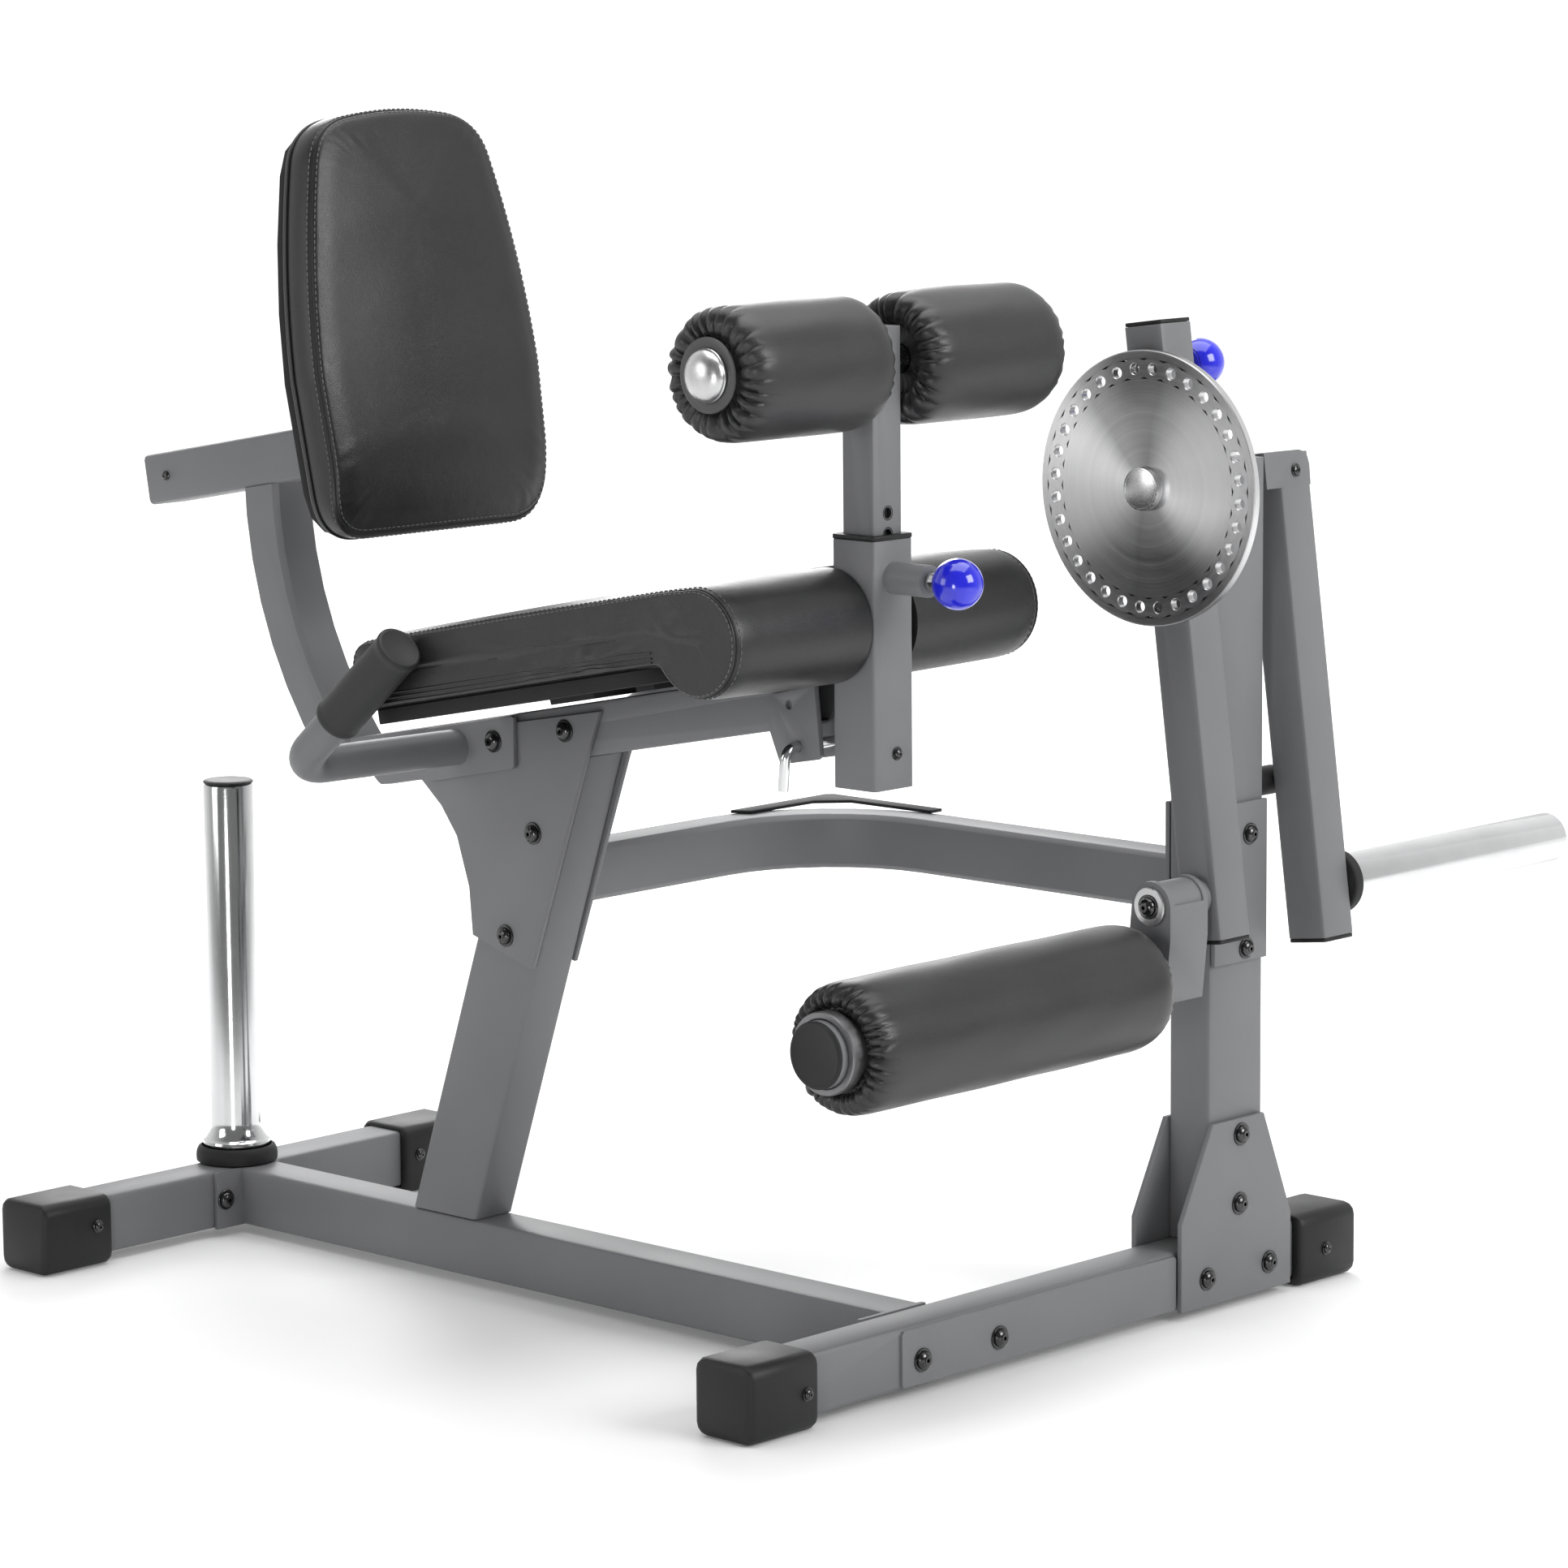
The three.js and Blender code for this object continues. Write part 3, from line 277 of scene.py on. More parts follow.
# angle about the disc centre, wobbled by noise, that places the painted highlight fans and the painted shade between
# them
ang = node(nt_d, "ShaderNodeMath", operation="ARCTAN2")
nt_d.links.new(sx.outputs["Z"], ang.inputs[0])
nt_d.links.new(sx.outputs["X"], ang.inputs[1])
wav = noise(nt_d, cb.outputs[0], 9.0, 2)
ph = node(nt_d, "ShaderNodeMath", operation="MULTIPLY_ADD")
nt_d.links.new(wav, ph.inputs[0])
ph.inputs[1].default_value = 0.7
ph.inputs[2].default_value = -0.35 - math.radians(16)
tot = node(nt_d, "ShaderNodeMath", operation="ADD")
nt_d.links.new(ang.outputs[0], tot.inputs[0])
nt_d.links.new(ph.outputs[0], tot.inputs[1])
dbl = node(nt_d, "ShaderNodeMath", operation="MULTIPLY")
nt_d.links.new(tot.outputs[0], dbl.inputs[0])
dbl.inputs[1].default_value = 2.0
cs2 = node(nt_d, "ShaderNodeMath", operation="COSINE")
nt_d.links.new(dbl.outputs[0], cs2.inputs[0])
painted_fan_highlight = remap(nt_d, cs2.outputs[0], -0.7, 1.0, 0, 1)
# the darker tone, with its turning marks, is painted shade for the top and bottom of the disc; the lighter tone is
# painted highlight for the side fans
turned = two_tone(nt_d, remap(nt_d, ring2, 0.3, 0.7, 0, 1), (0.26, 0.26, 0.262), (0.34, 0.34, 0.342))
painted_highlight_tone = two_tone(nt_d, remap(nt_d, ring2, 0.3, 0.7, 0, 1), (0.88, 0.88, 0.885), (0.97, 0.97, 0.975))
mxd = node(nt_d, "ShaderNodeMix", data_type="RGBA")
nt_d.links.new(turned, mxd.inputs["A"])
nt_d.links.new(painted_highlight_tone, mxd.inputs["B"])
nt_d.links.new(painted_fan_highlight, mxd.inputs["Factor"])
nt_d.links.new(mxd.outputs["Result"], b_d.inputs["Base Color"])
nt_d.links.new(remap(nt_d, ring2, 0.3, 0.7, 0.26, 0.36), b_d.inputs["Roughness"])
add_bump(nt_d, b_d, ring, 0.18, 0.0002)
tg = node(nt_d, "ShaderNodeTangent", direction_type="RADIAL", axis="Y")
nt_d.links.new(tg.outputs[0], b_d.inputs["Tangent"])

# ------------------------------------------------------------------ mesh helpers
def obj_from(name, verts, faces, mat, body=None, smooth=35, loc=None):
    me = bpy.data.meshes.new(name)
    me.from_pydata([tuple(v) for v in verts], [], faces)
    me.validate()
    bm = bmesh.new()
    bm.from_mesh(me)
    bmesh.ops.remove_doubles(bm, verts=bm.verts, dist=1e-6)
    bmesh.ops.recalc_face_normals(bm, faces=bm.faces)
    bm.to_mesh(me)
    bm.free()
    return finish_obj(name, me, mat, body, smooth, loc)


def finish_obj(name, me, mat, body, smooth, loc=None):
    o = bpy.data.objects.new(name, me)
    bpy.context.scene.collection.objects.link(o)
    if loc is not None:
        o.location = loc
    me.materials.clear()
    me.materials.append(mat)
    me.shade_smooth()
    if smooth is not None and smooth < 180:
        me.set_sharp_from_angle(angle=math.radians(smooth))
    if body:
        bpy.context.view_layer.update()
        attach(o, body)
    return o


def axis_matrix(origin, direction, roll_ref=(0, 0, 1)):
    """Matrix whose local Z runs along direction from origin."""
    z = Vector(direction).normalized()
    ref = Vector(roll_ref)
    if abs(z.dot(ref)) > 0.95:
        ref = Vector((1, 0, 0))
    x = ref.cross(z).normalized()
    y = z.cross(x)
    mt = Matrix((x, y, z)).transposed().to_4x4()
    mt.translation = origin
    return mt


def lathe_data(prof, n, M, phase=0.0, radius=None):
    """Rings about local Z. prof: [(r, h)] in mm. radius(r, h, a) can vary r."""
    vs, fs = [], []
    for r, h in prof:
        for i in range(n):
            a = 2 * PI * (i + phase) / n
            rr, hh = radius(r, h, a) if radius else (r, h)
            vs.append(M @ Vector((mm(rr) * math.cos(a), mm(rr) * math.sin(a), mm(hh))))
    for k in range(len(prof) - 1):
        for i in range(n):
            j = (i + 1) % n
            fs.append((k * n + i, k * n + j, (k + 1) * n + j, (k + 1) * n + i))
    return vs, fs


def lathe(name, prof, n, M, mat, body, smooth=32, radius=None):
    vs, fs = lathe_data(prof, n, M, radius=radius)
    return obj_from(name, vs, fs, mat, body, smooth)


def arc(cx, cy, r, a0, a1, n):
    return [(cx + r * math.cos(math.radians(a0 + (a1 - a0) * i / n)), cy + r * math.sin(math.radians(a0 + (a1 - a0) * i / n))) for i in range(n + 1)]


def refine(nd, mat, width=1.1, angle=32, seg=2, name=None):
    """A finished copy of a CAD node: coplanar facets merged and hard edges broken by a small radius."""
    src = frame["nodes"][nd]
    me = src.data.copy()
    bm = bmesh.new()
    bm.from_mesh(me)
    bmesh.ops.remove_doubles(bm, verts=bm.verts, dist=1e-6)
    bmesh.ops.dissolve_limit(bm, angle_limit=math.radians(0.8), verts=bm.verts, edges=bm.edges)
    bm.to_mesh(me)
    bm.free()
    body = next(b for b, l in frame["record"]["behaviour"]["bodies"].items() if nd in l)
    o = bpy.data.objects.new(name or "v_" + nd, me)
    bpy.context.scene.collection.objects.link(o)
    if width > 0:
        bv = o.modifiers.new("edge", "BEVEL")
        bv.width = mm(width)
        bv.segments = seg
        bv.limit_method = "ANGLE"
        bv.angle_limit = math.radians(angle)
        bv.use_clamp_overlap = True
        bv.harden_normals = False
        dg = bpy.context.evaluated_depsgraph_get()
        me2 = bpy.data.meshes.new_from_object(o.evaluated_get(dg))
        o.modifiers.clear()
        o.data = me2
        me = me2
    me.materials.clear()
    me.materials.append(mat)
    me.shade_smooth()
    me.set_sharp_from_angle(angle=math.radians(30))
    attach(o, body)
    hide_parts(nd)
    return o


def sweep_tube(name, pts, r, n, mat, body, caps=True, smooth=40):
    """Round tube along points in metres."""
    vs, fs = [], []
    t0 = (pts[1] - pts[0]).normalized()
    ref = Vector((0, 0, 1)) if abs(t0.z) < 0.9 else Vector((1, 0, 0))
    x = ref.cross(t0).normalized()
    for k, p in enumerate(pts):
        a = pts[max(k - 1, 0)]
        c = pts[min(k + 1, len(pts) - 1)]
        t = (c - a).normalized()
        x = (x - t * x.dot(t)).normalized()
        y = t.cross(x)
        rr = r[k] if isinstance(r, (list, tuple)) else r
        for i in range(n):
            an = 2 * PI * i / n
            vs.append(p + x * (mm(rr) * math.cos(an)) + y * (mm(rr) * math.sin(an)))
    for k in range(len(pts) - 1):
        for i in range(n):
            j = (i + 1) % n
            fs.append((k * n + i, k * n + j, (k + 1) * n + j, (k + 1) * n + i))
    if caps:
        fs.append(tuple(range(n))[::-1])
        fs.append(tuple((len(pts) - 1) * n + i for i in range(n)))
    return obj_from(name, vs, fs, mat, body, smooth)


def bent(corners, radii, n=10):
    """Straight runs joined by arcs, in metres."""
    V = [Vector(c) for c in corners]
    out = [V[0]]
    for i in range(1, len(V) - 1):
        a = (V[i] - V[i - 1]).normalized()
        b = (V[i + 1] - V[i]).normalized()
        ang = a.angle(b)
        R = radii[i - 1]
        d = R * math.tan(ang / 2)
        side = (b - a * a.dot(b)).normalized()
        c = V[i] - a * d + side * R
        for k in range(n + 1):
            t = ang * k / n
            out.append(c - side * (R * math.cos(t)) + a * (R * math.sin(t)))
    out.append(V[-1])
    return out


class Batch:
    """Many small pieces gathered into one mesh."""
    def __init__(self):
        self.v, self.f = [], []

    def add(self, vs, fs):
        k = len(self.v)
        self.v += [tuple(v) for v in vs]
        self.f += [tuple(i + k for i in f) for f in fs]

    def build(self, name, mat, body, smooth=35):
        me = bpy.data.meshes.new(name)
        me.from_pydata(self.v, [], self.f)
        me.validate()
        bm = bmesh.new()
        bm.from_mesh(me)
        bmesh.ops.recalc_face_normals(bm, faces=bm.faces)
        bm.to_mesh(me)
        bm.free()
        return finish_obj(name, me, mat, body, smooth)


def bolt_data(pos, normal, r=8.5, h=5.0):
    """Button head with a washer and a hex socket."""
    M = axis_matrix(pos, normal)
    out_v, out_f = [], []
    def put(vs, fs):
        k = len(out_v)
        out_v.extend(vs)
        out_f.extend([tuple(i + k for i in f) for f in fs])
    wr = r * 1.28
    put(*lathe_data([(0.0, 0.1), (wr, 0.1), (wr, 1.2), (wr - 0.5, 1.7), (r * 0.6, 1.7)], 28, M))
    prof = [(r * 0.9, 1.6), (r, 2.2)]
    for i in range(1, 8):
        t = i / 7 * PI / 2 * 0.86
        prof.append((r * math.cos(t), 2.2 + h * math.sin(t)))
    top = prof[-1][1]
    sr = r * 0.42
    prof += [(sr * 1.12, top + 0.15), (sr, top - 0.2)]
    put(*lathe_data(prof, 24, M))
    hexp = [(sr * 0.98, top - 0.2), (sr * 0.95, top - 2.6), (0.0, top - 3.1)]
    put(*lathe_data(hexp, 6, M))
    return out_v, out_f


def seam_line(target, pts, r, name, mat, body, sink=0.35, closed=False):
    """A thin welt lying on a surface along points."""
    res = []
    for p in pts:
        loc, nor, idx, dist = target.find_nearest(p)
        if loc is None:
            continue
        res.append(loc + nor * mm(r * (1 - 2 * sink)))
    if closed:
        res.append(res[0])
    return sweep_tube(name, res, r, 8, mat, body, caps=not closed, smooth=60)


def stitches(target, pts, offset, name, mat, body, pitch=6.0, length=4.2, r=0.55):
    """A row of thread stitches on a surface, offset sideways from a line."""
    B = Batch()
    P = []
    for p in pts:
        loc, nor, idx, dist = target.find_nearest(p)
        if loc is not None:
            P.append((loc, nor))
    acc, nxt = 0.0, 0.0
    for k in range(len(P) - 1):
        a, na = P[k]
        b, nb = P[k + 1]
        seg = (b - a).length * 1000
        if seg < 1e-6:
            continue
        t = (b - a).normalized()
        while nxt <= acc + seg:
            s = (nxt - acc) / seg
            c = a.lerp(b, s)
            n = na.lerp(nb, s).normalized()
            side = n.cross(t).normalized()
            q = c + side * mm(offset)
            loc, nor, i2, d2 = target.find_nearest(q)
            if loc is not None:
                t2 = (t - nor * t.dot(nor)).normalized()
                w = nor.cross(t2)
                base = loc + nor * mm(0.12)
                vs = []
                for (l, rr, hh) in ((-0.5, 0.35, 0.0), (-0.3, 1.0, 0.5), (0.3, 1.0, 0.5), (0.5, 0.35, 0.0)):
                    for i in range(5):
                        an = 2 * PI * i / 5
                        vs.append(base + t2 * mm(length * l) + w * mm(r * rr * math.cos(an)) + nor * mm(r * rr * math.sin(an) + hh * 0.3))
                fs = []
                for kk in range(3):
                    for i in range(5):
                        j = (i + 1) % 5
                        fs.append((kk * 5 + i, kk * 5 + j, (kk + 1) * 5 + j, (kk + 1) * 5 + i))
                fs.append((4, 3, 2, 1, 0))
                fs.append((15, 16, 17, 18, 19))
                B.add(vs, fs)
            nxt += pitch
        acc += seg
    return B.build(name, mat, body, 60)


def puff(o, pinned, cap, frames=16, pressure=4.0):
    """Blow a closed cushion up a little with cloth, cap the travel, and keep the result in the mesh."""
    me = o.data
    rest = [v.co.copy() for v in me.vertices]
    vg = o.vertex_groups.new(name="pin")
    vg.add(pinned, 1.0, "REPLACE")
    cl = o.modifiers.new("cloth", "CLOTH")
    s = cl.settings
    s.quality = 5
    s.mass = 0.3
    s.use_pressure = True
    s.uniform_pressure_force = pressure
    s.effector_weights.gravity = 0
    s.tension_stiffness = 20
    s.compression_stiffness = 20
    s.shear_stiffness = 10
    s.bending_stiffness = 2
    s.vertex_group_mass = "pin"
    s.pin_stiffness = 1
    cl.collision_settings.use_collision = False
    sc = bpy.context.scene
    cl.point_cache.frame_start = 1
    cl.point_cache.frame_end = frames
    for f in range(1, frames + 1):
        sc.frame_set(f)
    dg = bpy.context.evaluated_depsgraph_get()
    ev = o.evaluated_get(dg).to_mesh()
    out = []
    for v, r0 in zip(ev.vertices, rest):
        d = v.co - r0
        L = d.length
        lim = mm(cap)
        if L > 1e-9:
            d = d * (lim * (1 - math.exp(-L / lim)) / L)
        out.append(r0 + d)
    o.evaluated_get(dg).to_mesh_clear()
    o.modifiers.clear()
    o.vertex_groups.clear()
    sc.frame_set(1)
    for v, c in zip(me.vertices, out):
        v.co = c
    me.update()


def subdivide(o, levels=1):
    """Catmull-Clark on the quads; the large end faces are taken off first and put back flat."""
    bm = bmesh.new()
    bm.from_mesh(o.data)
    bmesh.ops.delete(bm, geom=[f for f in bm.faces if len(f.verts) > 8], context="FACES_ONLY")
    bm.to_mesh(o.data)
    bm.free()
    sub = o.modifiers.new("sub", "SUBSURF")
    sub.levels = levels
    sub.render_levels = levels
    dg = bpy.context.evaluated_depsgraph_get()
    me = bpy.data.meshes.new_from_object(o.evaluated_get(dg))
    o.modifiers.clear()
    bm = bmesh.new()
    bm.from_mesh(me)
    bmesh.ops.holes_fill(bm, edges=[e for e in bm.edges if e.is_boundary], sides=0)
    bmesh.ops.recalc_face_normals(bm, faces=bm.faces)
    bm.to_mesh(me)
    bm.free()
    o.data = me
    me.shade_smooth()
    return o


def iron(o, idx, steps=12):
    """Smooth the listed vertices in place."""
    bm = bmesh.new()
    bm.from_mesh(o.data)
    bm.verts.ensure_lookup_table()
    sel = [bm.verts[i] for i in idx]
    for _ in range(steps):
        bmesh.ops.smooth_vert(bm, verts=sel, factor=0.5, use_axis_x=True, use_axis_y=True, use_axis_z=True)
    bm.to_mesh(o.data)
    bm.free()
    o.data.update()


def bvh(o):
    dg = bpy.context.evaluated_depsgraph_get()
    return BVHTree.FromObject(o, dg)


# ------------------------------------------------------------------ dimensions shared with the CAD
SEAT_T, BACK_T, ARM_T, POST_LEAN = math.radians(11), math.radians(9.8), math.radians(7.4), math.radians(19.2)
SHAFT = (-25.3, 785.9)
DISC_R, DISC_T, DISC_Y0, HOLE_RING = 127.5, 8.0, 306.5, 110.3
SWING_Y0, SWING_Y1, SWING_TOP, SWING_BOT = 322.8, 367.8, 149.0, -422.0
WY0, WY1 = 475.6, 520.6
PAD_OUT = 110.0
NOSE_R, SEAT_HW, SEAT_L, NOTCH = 49.4, 202.0, 450.0, 30.0
THIGH_X, ROLL_Z, ROLL_R, ROLL_L, ROLL_END = -85.8, 919.2, 60.0, 182.0, 203.0
ANKLE = (18.0, 336.3)
ANKLE_R, ANKLE_Y0, ANKLE_Y1 = 59.5, -166.0, 230.0
KNOB = (15.7, 728.1)


def tilt_frame(origin, angle):
    """Local (x along, y across, z up) in mm, tilted so that x rises by angle."""
    c, s = math.cos(angle), math.sin(angle)
    return lambda x, y, z: Vector((origin.x + mm(x * c - z * s), origin.y + mm(y), origin.z + mm(x * s + z * c)))


def rot_frame(origin, angle):
    """The arms' frame: rotated about +Y by -angle."""
    c, s = math.cos(angle), math.sin(angle)
    return lambda x, y, z: Vector((origin.x + mm(x * c - z * s), origin.y + mm(y), origin.z + mm(x * s + z * c)))


cbk, sbk = math.cos(BACK_T), math.sin(BACK_T)
axis_z = lambda x: 731.6 + 25 / cbk + (x + 1048) * math.tan(BACK_T)
SLIDE_O = D(-1054 + 242 * cbk, 0, axis_z(-1054) + 242 * sbk)
L_back = tilt_frame(SLIDE_O, BACK_T)
L_seat = tilt_frame(D(-111, 0, 684.5), SEAT_T)
L_arm = rot_frame(D(SHAFT[0], 0, SHAFT[1]), ARM_T)

# ------------------------------------------------------------------ steelwork carried over from the CAD
for nd in ("front_stabilizer", "rear_stabilizer", "main_rail", "upright_post", "post_gusset_front", "post_gusset_rear",
           "curved_brace", "brace_clamp_plate", "seat_post", "seat_frame", "seat_side_plate_near", "seat_side_plate_far",
           "backrest_post", "backrest_inner_tube", "thigh_post_outer", "thigh_inner_tube", "swing_arm", "weight_arm"):
    refine(nd, M_PAINT, 1.0)
refine("roller_bracket", M_PAINT, 1.6, seg=3)
refine("brace_corner_plate", M_DARK, 0.7)
for nd in ("foot_cap_front_near", "foot_cap_front_far", "foot_cap_rear_near", "foot_cap_rear_far"):
    refine(nd, M_PLAST, 1.4)
for nd in ("slide_bush", "thigh_post_bush", "swing_arm_top_plug", "swing_arm_bottom_plug", "weight_arm_bottom_plug"):
    refine(nd, M_PLAST, 0.9)
refine("rest_buffer", M_RUBBER, 1.2)
for nd in ("shaft_bearing_near", "shaft_bearing_far"):
    refine(nd, M_BRASS, 0.5)
refine("thigh_cross_pipe", M_STEEL, 0.4)
refine("main_shaft", M_STEEL, 0.6)
refine("seat_board", M_CLOTH, 1.0)
refine("back_board", M_CLOTH, 1.5)

# ------------------------------------------------------------------ back pad
def back_outline(step=5.0):
    hw0, hw1, z0, z1 = 139.0, 113.0, -92.0, 309.0
    P = []
    def line(a, b):
        n = max(int(math.dist(a, b) / step), 1)
        P.extend([(a[0] + (b[0] - a[0]) * i / n, a[1] + (b[1] - a[1]) * i / n) for i in range(n)])
    def quad(a, c, b):
        L = math.dist(a, c) + math.dist(c, b)
        n = max(int(L / step), 4)
        for i in range(n):
            t = i / n
            P.append(((1 - t) ** 2 * a[0] + 2 * t * (1 - t) * c[0] + t * t * b[0], (1 - t) ** 2 * a[1] + 2 * t * (1 - t) * c[1] + t * t * b[1]))
    line((-hw0 + 42, z0), (hw0 - 42, z0))
    quad((hw0 - 42, z0), (hw0 - 2, z0 + 2), (hw0, z0 + 44))
    line((hw0, z0 + 44), (hw0 + 5, 60))
    quad((hw0 + 5, 60), (hw0 + 2, 160), (hw1 + 2, z1 - 48))
    quad((hw1 + 2, z1 - 48), (hw1 - 8, z1 - 6), (hw1 - 56, z1 - 2))
    quad((hw1 - 56, z1 - 2), (0, z1 + 6), (-hw1 + 56, z1 - 2))
    quad((-hw1 + 56, z1 - 2), (-hw1 + 8, z1 - 6), (-hw1 - 2, z1 - 48))
    quad((-hw1 - 2, z1 - 48), (-hw0 - 2, 160), (-hw0 - 5, 60))
    line((-hw0 - 5, 60), (-hw0, z0 + 44))
    quad((-hw0, z0 + 44), (-hw0 + 2, z0 + 2), (-hw0 + 42, z0))
    # even spacing
    n = len(P)
    S = [0.0]
    for i in range(n):
        S.append(S[-1] + math.dist(P[i], P[(i + 1) % n]))
    N = 2 * int(S[-1] / step / 2)
    out, k = [], 0
    for j in range(N):
        s = S[-1] * j / N
        while S[k + 1] < s:
            k += 1
        t = (s - S[k]) / max(S[k + 1] - S[k], 1e-9)
        a, b = P[k % n], P[(k + 1) % n]
        out.append((a[0] + (b[0] - a[0]) * t, a[1] + (b[1] - a[1]) * t))
    return out


B_OUT = back_outline()
NB = len(B_OUT)
B_NOR = []
for i in range(NB):
    a, b = B_OUT[i - 1], B_OUT[(i + 1) % NB]
    tx, ty = b[0] - a[0], b[1] - a[1]
    L = math.hypot(tx, ty)
    B_NOR.append((-ty / L, tx / L))      # inward for a counter-clockwise outline


def back_ring(inset, depth, t=0.0):
    """One closed ring of the pad: inset along the outline's normal, then scaled towards the spine by t."""
    ring = []
    for (y, z), (ny, nz) in zip(B_OUT, B_NOR):
        py, pz = y + ny * inset, z + nz * inset
        if t > 0:
            sy, sz = 0.0, min(max(pz, 30.0), 210.0)
            py, pz = sy + (py - sy) * (1 - t), sz + (pz - sz) * (1 - t)
        # the lower end of the face rolls back
        low = max(0.0, (-10.0 - pz) / 82.0)
        f = min(1.0, max(0.0, (depth - 22) / 30))
        dx = -23.0 * low ** 1.9 * f * f * (3 - 2 * f)
        ring.append(L_back(PAD_OUT + 16.6 + depth + dx, py, pz))
    return ring


B_RINGS = [(9, 0.2, 0), (3.2, 0.4, 0), (1.0, 2.2, 0), (0.6, 5.5, 0), (1.9, 8.0, 0), (0.5, 10.6, 0),
           (-0.4, 15, 0), (-0.9, 20, 0), (-1.0, 25, 0), (-0.8, 30, 0), (-0.1, 35, 0), (1.0, 38.6, 0), (2.7, 40.4, 0), (2.5, 42.4, 0),
           (4.6, 46.0, 0), (8.0, 49.0, 0), (12.5, 51.4, 0), (18.0, 53.0, 0), (24.0, 53.9, 0), (24.0, 54.6, 0.06),
           (24.0, 55.2, 0.13), (24.0, 55.8, 0.20), (24.0, 56.4, 0.28), (24.0, 57.0, 0.36), (24.0, 57.5, 0.45), (24.0, 57.9, 0.54),
           (24.0, 58.2, 0.63), (24.0, 58.4, 0.72), (24.0, 58.6, 0.81), (24.0, 58.7, 0.90), (24.0, 58.7, 0.97)]
vs, fs = [], []
for r in B_RINGS:
    vs += back_ring(*r)
for k in range(len(B_RINGS) - 1):
    for i in range(NB):
        j = (i + 1) % NB
        fs.append((k * NB + i, k * NB + j, (k + 1) * NB + j, (k + 1) * NB + i))
fs.append(tuple(range(NB))[::-1])
last = (len(B_RINGS) - 1) * NB
fs.append(tuple(last + i for i in range(NB)))
back = obj_from("back_cushion_soft", vs, fs, M_VINYL, None, 180)
pin = [v.index for v in back.data.vertices]
free = set()
for k in range(len(B_RINGS)):
    if (6 <= k <= 10) or k >= 15:
        for p in back_ring(*B_RINGS[k]):
            free.add((round(p.x, 5), round(p.y, 5), round(p.z, 5)))
pin = [v.index for v in back.data.vertices if (round(v.co.x, 5), round(v.co.y, 5), round(v.co.z, 5)) not in free]
inner = set()
for k in range(19, len(B_RINGS)):
    for p in back_ring(*B_RINGS[k]):
        inner.add((round(p.x, 5), round(p.y, 5), round(p.z, 5)))
inner = [v.index for v in back.data.vertices if (round(v.co.x, 5), round(v.co.y, 5), round(v.co.z, 5)) in inner]
puff(back, pin, 5.0)
iron(back, inner, 24)
subdivide(back)
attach(back, "backrest")
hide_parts("back_cushion")
tree = bvh(back)
w1 = seam_line(tree, back_ring(1.4, 8.0), 1.5, "back_pad_rear_welt", M_VINYL, "backrest", sink=0.15, closed=True)
# a dark welt of painted shade sunk along the front seam
w2 = seam_line(tree, back_ring(2.7, 41.4), 0.8, "back_pad_front_seam", M_PAINTED_SHADE, "backrest", sink=0.4, closed=True)
st_path = back_ring(2.7, 41.4)
st_path.append(st_path[0])
s1 = stitches(tree, st_path, 4.2, "back_pad_stitches_a", M_THREAD, "backrest")
s2 = stitches(tree, st_path, -4.2, "back_pad_stitches_b", M_THREAD, "backrest")

# ------------------------------------------------------------------ seat cushion
def seat_profile(step=6.0):
    """Closed loop in the seat's X and Z, with the nose as a round bolster."""
    P = [(-SEAT_L, -12.0), (-SEAT_L + 3, -14.3)]
    P += [(-SEAT_L + 3 + (SEAT_L - 53) * i / 60, -14.3) for i in range(1, 61)]
    a0 = math.radians(180 + 22)
    for i in range(0, 41):
        a = a0 + (math.radians(360 + 96) - a0) * i / 40
        P.append((NOSE_R * math.cos(a), NOSE_R * math.sin(a)))
    P += [(-12, 49.9), (-30, 50.4)]
    P += [(-30 + (-SEAT_L + 56) * i / 60, 50.5 + 1.2 * math.sin(PI * i / 60)) for i in range(1, 61)]
    P += arc(-SEAT_L + 24, 28.0, 22.5, 88, 172, 8)
    P += [(-SEAT_L + 0.6, 22), (-SEAT_L, 12), (-SEAT_L, 0)]
    n = len(P)
    S = [0.0]
    for i in range(n):
        S.append(S[-1] + math.dist(P[i], P[(i + 1) % n]))
    N = int(S[-1] / step)
    out, k = [], 0
    for j in range(N):
        s = S[-1] * j / N
        while S[k + 1] < s:
            k += 1
        t = (s - S[k]) / max(S[k + 1] - S[k], 1e-9)
        a, b = P[k % n], P[(k + 1) % n]
        out.append((a[0] + (b[0] - a[0]) * t, a[1] + (b[1] - a[1]) * t))
    return out


S_OUT = seat_profile()
NS = len(S_OUT)
S_NOR = []
for i in range(NS):
    a, b = S_OUT[i - 1], S_OUT[(i + 1) % NS]
    tx, ty = b[0] - a[0], b[1] - a[1]
    L = math.hypot(tx, ty)
    S_NOR.append((-ty / L, tx / L))


def seat_ring(y, inset=0.0, t=0.0):
    ring = []
    for (x, z), (nx, nz) in zip(S_OUT, S_NOR):
        px, pz = x + nx * inset, z + nz * inset
        if t > 0:
            cx = min(max(px, -SEAT_L + 34), 0.0)
            cz = 18.0 if cx < -60 else 18.0 * (-cx / 60.0)
            px, pz = cx + (px - cx) * (1 - t), cz + (pz - cz) * (1 - t)
        ring.append(L_seat(px, y, pz))
    return ring


